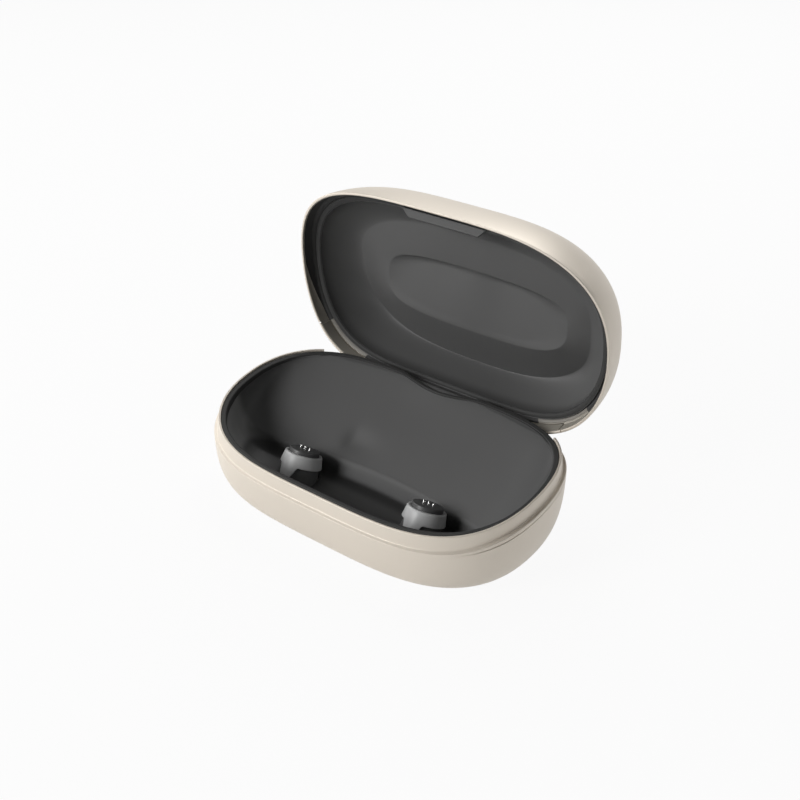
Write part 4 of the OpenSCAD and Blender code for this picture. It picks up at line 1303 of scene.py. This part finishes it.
class CASE_OT_screws(Operator):
    """Hidden screws of the base, the board and the hinge plate"""
    bl_idname = "case.screws"
    bl_label = "Screws"

    def execute(self, context):
        self.group_of("base_screws", (0, 0, 0), (1.8, 0.8, 2.85))
        self.group_of("board_screws", (math.pi, 0, 0), (1.5, 0.8, 2.35))
        self.group_of("hinge_screws", (-math.pi / 2, 0, 0), (1.4, 0.7, 2.15))
        return {"FINISHED"}

    def group_of(self, node, turn, size):
        """One set of screws: turn of their axis, and head radius, head height and length in millimetres."""
        low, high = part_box(node)
        mid = (low + high) / 2
        r, head, shank = (v * MM for v in size)
        if node == "base_screws":
            pts = [(x, y, low.z) for x, y in self.corners(node)]
        elif node == "board_screws":
            pts = [(x, mid.y, high.z) for x in (low.x + r, high.x - r)]
        else:
            pts = [(x, low.y, mid.z) for x in (low.x + r, high.x - r)]
        values = {"Head Radius": r, "Head Height": head, "Shank Length": shank, "Turn": turn,
                  "Material": finish("steel")}
        mesh = grown(node + "_set", screw_tree(), pts, [], values)
        piece(node + "_set", mesh, "steel", "base", "steel", node)

    def corners(self, node):
        """Places of the base screws, read from the heads in the frame."""
        co = np.array([v.co for v in frame["nodes"][node].data.vertices])
        found = []
        for sx in (-1, 1):
            part = co[np.sign(co[:, 0]) == sx]
            for rear in (False, True):
                half = part[(part[:, 1] > 0) == rear]
                found.append(((half.min(0) + half.max(0)) / 2)[:2])
        return found


class CASE_OT_inside(Operator):
    """Finishes of the sealed pieces that stay as they are in the frame"""
    bl_idname = "case.inside"
    bl_label = "Inner pieces"

    def execute(self, context):
        slots = {row["node"]: row["material_slot"] for row in frame["record"]["subparts"]}
        for node, obj in frame["nodes"].items():
            if obj.hide_render:
                continue
            obj.data.materials.clear()
            obj.data.materials.append(finish(slots[node]))
        return {"FINISHED"}


# Stage

# Lamps by angle from the front and above the floor in degrees, power and size, and how far they stand
LAMPS = {"key": (-28, 26, 3.75, 0.34), "left": (-60, 35, 1.0, 0.45), "left_low": (-85, 14, 1.4, 0.45),
         "rear_left": (-160, 45, 2.7, 0.45), "rear_right": (160, 35, 0.7, 0.45), "right": (105, 22, 0.5, 0.45)}
LAMP_REACH, LAMP_AIM = 0.8, (0, 0, 0.03)
WORLD_LIGHT, FLOOR_WHITE = 0.05, 0.93
# Camera fitted to the photo: angles in degrees, distance and shifts in metres, focal length in pixels
CAMERA_TURN, CAMERA_RISE = 37.12, 31.49
CAMERA_AWAY, CAMERA_ACROSS, CAMERA_UP = 0.30301, 0.00417, 0.02631
FOCAL, PHOTO_WIDTH, SENSOR = 1102.18, 800, 36


def view_from(turn, rise):
    """Direction from the case, by angle from the front and angle above the floor in degrees."""
    a, e = math.radians(turn), math.radians(rise)
    return Vector((math.sin(a) * math.cos(e), -math.cos(a) * math.cos(e), math.sin(e)))


class CASE_OT_stage(Operator):
    """Pale floor, soft studio light and the camera"""
    bl_idname = "case.stage"
    bl_label = "Stage"

    def execute(self, context):
        self.floor()
        self.world()
        self.lights()
        self.camera()
        context.scene.view_settings.view_transform = "Standard"
        return {"FINISHED"}

    def seen_by(self, tree):
        """1 for rays that see the backdrop: from the camera, in gloss and through glass."""
        path = tree.nodes.new("ShaderNodeLightPath")
        total = path.outputs["Is Camera Ray"]
        for name in ("Is Glossy Ray", "Is Transmission Ray"):
            node = add_node(tree, "ShaderNodeMath", "MAXIMUM")
            tree.links.new(total, node.inputs[0])
            tree.links.new(path.outputs[name], node.inputs[1])
            total = node.outputs[0]
        return total

    def floor(self):
        """Round pale floor with a cove, which looks white and keeps the shadow."""
        turn = np.radians(np.arange(0, 360, 3.0))
        cove = [(2.4 + 0.7 * math.sin(q), 0.7 - 0.7 * math.cos(q)) for q in np.radians(np.linspace(0, 90, 12))]
        rings = [np.stack([r * np.cos(turn), r * np.sin(turn), z + 0 * turn], -1) for r, z in [(0.6, 0.0)] + cove]
        mesh = loft_mesh("floor", rings, caps=("fan", False))
        mat = bpy.data.materials.new("pale_floor")
        mat.use_nodes = True
        tree = mat.node_tree
        tree.nodes.clear()
        matt = add_node(tree, "ShaderNodeBsdfDiffuse", Color=(*group("case_colours").floor, 1))
        white = add_node(tree, "ShaderNodeEmission", Color=(1, 1, 1, 1), Strength=1.0)
        share = add_node(tree, "ShaderNodeMath", "MULTIPLY")
        share.inputs[1].default_value = FLOOR_WHITE
        tree.links.new(self.seen_by(tree), share.inputs[0])
        mix = tree.nodes.new("ShaderNodeMixShader")
        out = tree.nodes.new("ShaderNodeOutputMaterial")
        tree.links.new(share.outputs[0], mix.inputs[0])
        tree.links.new(matt.outputs[0], mix.inputs[1])
        tree.links.new(white.outputs[0], mix.inputs[2])
        tree.links.new(mix.outputs[0], out.inputs[0])
        mesh.materials.append(mat)
        obj = linked("floor", mesh)

    def world(self):
        """Faint even light from all sides."""
        world = bpy.data.worlds.new("studio")
        bpy.context.scene.world = world
        world.use_nodes = True
        tree = world.node_tree
        tree.nodes.clear()
        soft = add_node(tree, "ShaderNodeBackground", Color=(1, 1, 1, 1), Strength=WORLD_LIGHT)
        out = tree.nodes.new("ShaderNodeOutputWorld")
        tree.links.new(soft.outputs[0], out.inputs[0])

    def lights(self):
        """Soft round lamps."""
        for name, (turn, rise, power, size) in LAMPS.items():
            data = bpy.data.lights.new(name, "AREA")
            data.shape, data.size, data.energy = "DISK", size, power
            obj, away = linked(name, data), view_from(turn, rise)
            obj.location = Vector(LAMP_AIM) + LAMP_REACH * away
            obj.rotation_euler = (-away).to_track_quat("-Z", "Y").to_euler()

    def camera(self):
        """Camera at the photo's angle."""
        back, a = view_from(CAMERA_TURN, CAMERA_RISE), math.radians(CAMERA_TURN)
        right = Vector((math.cos(a), math.sin(a), 0))
        data = bpy.data.cameras.new("camera")
        data.sensor_width, data.clip_start = SENSOR, 0.01
        data.lens = FOCAL * SENSOR / PHOTO_WIDTH
        obj = linked("camera", data)
        obj.location = back * CAMERA_AWAY + right * CAMERA_ACROSS + back.cross(right) * CAMERA_UP
        obj.rotation_euler = (-back).to_track_quat("-Z", "Y").to_euler()
        bpy.context.scene.camera = obj


OPERATORS = (CASE_OT_base_shell, CASE_OT_base_collar, CASE_OT_tray, CASE_OT_foot, CASE_OT_inlet, CASE_OT_posts,
             CASE_OT_contact_pins, CASE_OT_lid_shell, CASE_OT_lid_rim, CASE_OT_lid_liner, CASE_OT_lid_catch,
             CASE_OT_hinge, CASE_OT_screws, CASE_OT_inside, CASE_OT_stage)
SETTINGS = {"case_sizes": CaseSizes, "tray_sizes": TraySizes, "post_sizes": PostSizes, "lid_sizes": LidSizes,
            "hinge_sizes": HingeSizes, "case_colours": CaseColours}


class CASE_PT_panel(Panel):
    """Sizes, colours and steps of the case"""
    bl_idname = "CASE_PT_panel"
    bl_label = "Hearing aid case"
    bl_space_type = "VIEW_3D"
    bl_region_type = "UI"
    bl_category = "Case"

    def draw(self, context):
        for name, kind in SETTINGS.items():
            box = self.layout.box()
            box.label(text=kind.__doc__)
            for key in kind.__annotations__:
                box.prop(getattr(context.scene, name), key)
        for kind in OPERATORS:
            self.layout.operator(kind.bl_idname)


def register():
    for kind in (*SETTINGS.values(), *OPERATORS, CASE_PT_panel):
        bpy.utils.register_class(kind)
    for name, kind in SETTINGS.items():
        setattr(bpy.types.Scene, name, PointerProperty(type=kind))


def unregister():
    for name in SETTINGS:
        delattr(bpy.types.Scene, name)
    for kind in (CASE_PT_panel, *reversed(OPERATORS), *reversed(SETTINGS.values())):
        bpy.utils.unregister_class(kind)


def main():
    """Registers the add-on and runs every step in order."""
    register()
    for kind in OPERATORS:
        family, step = kind.bl_idname.split(".")
        getattr(getattr(bpy.ops, family), step)()


if __name__ == "__main__":
    main()
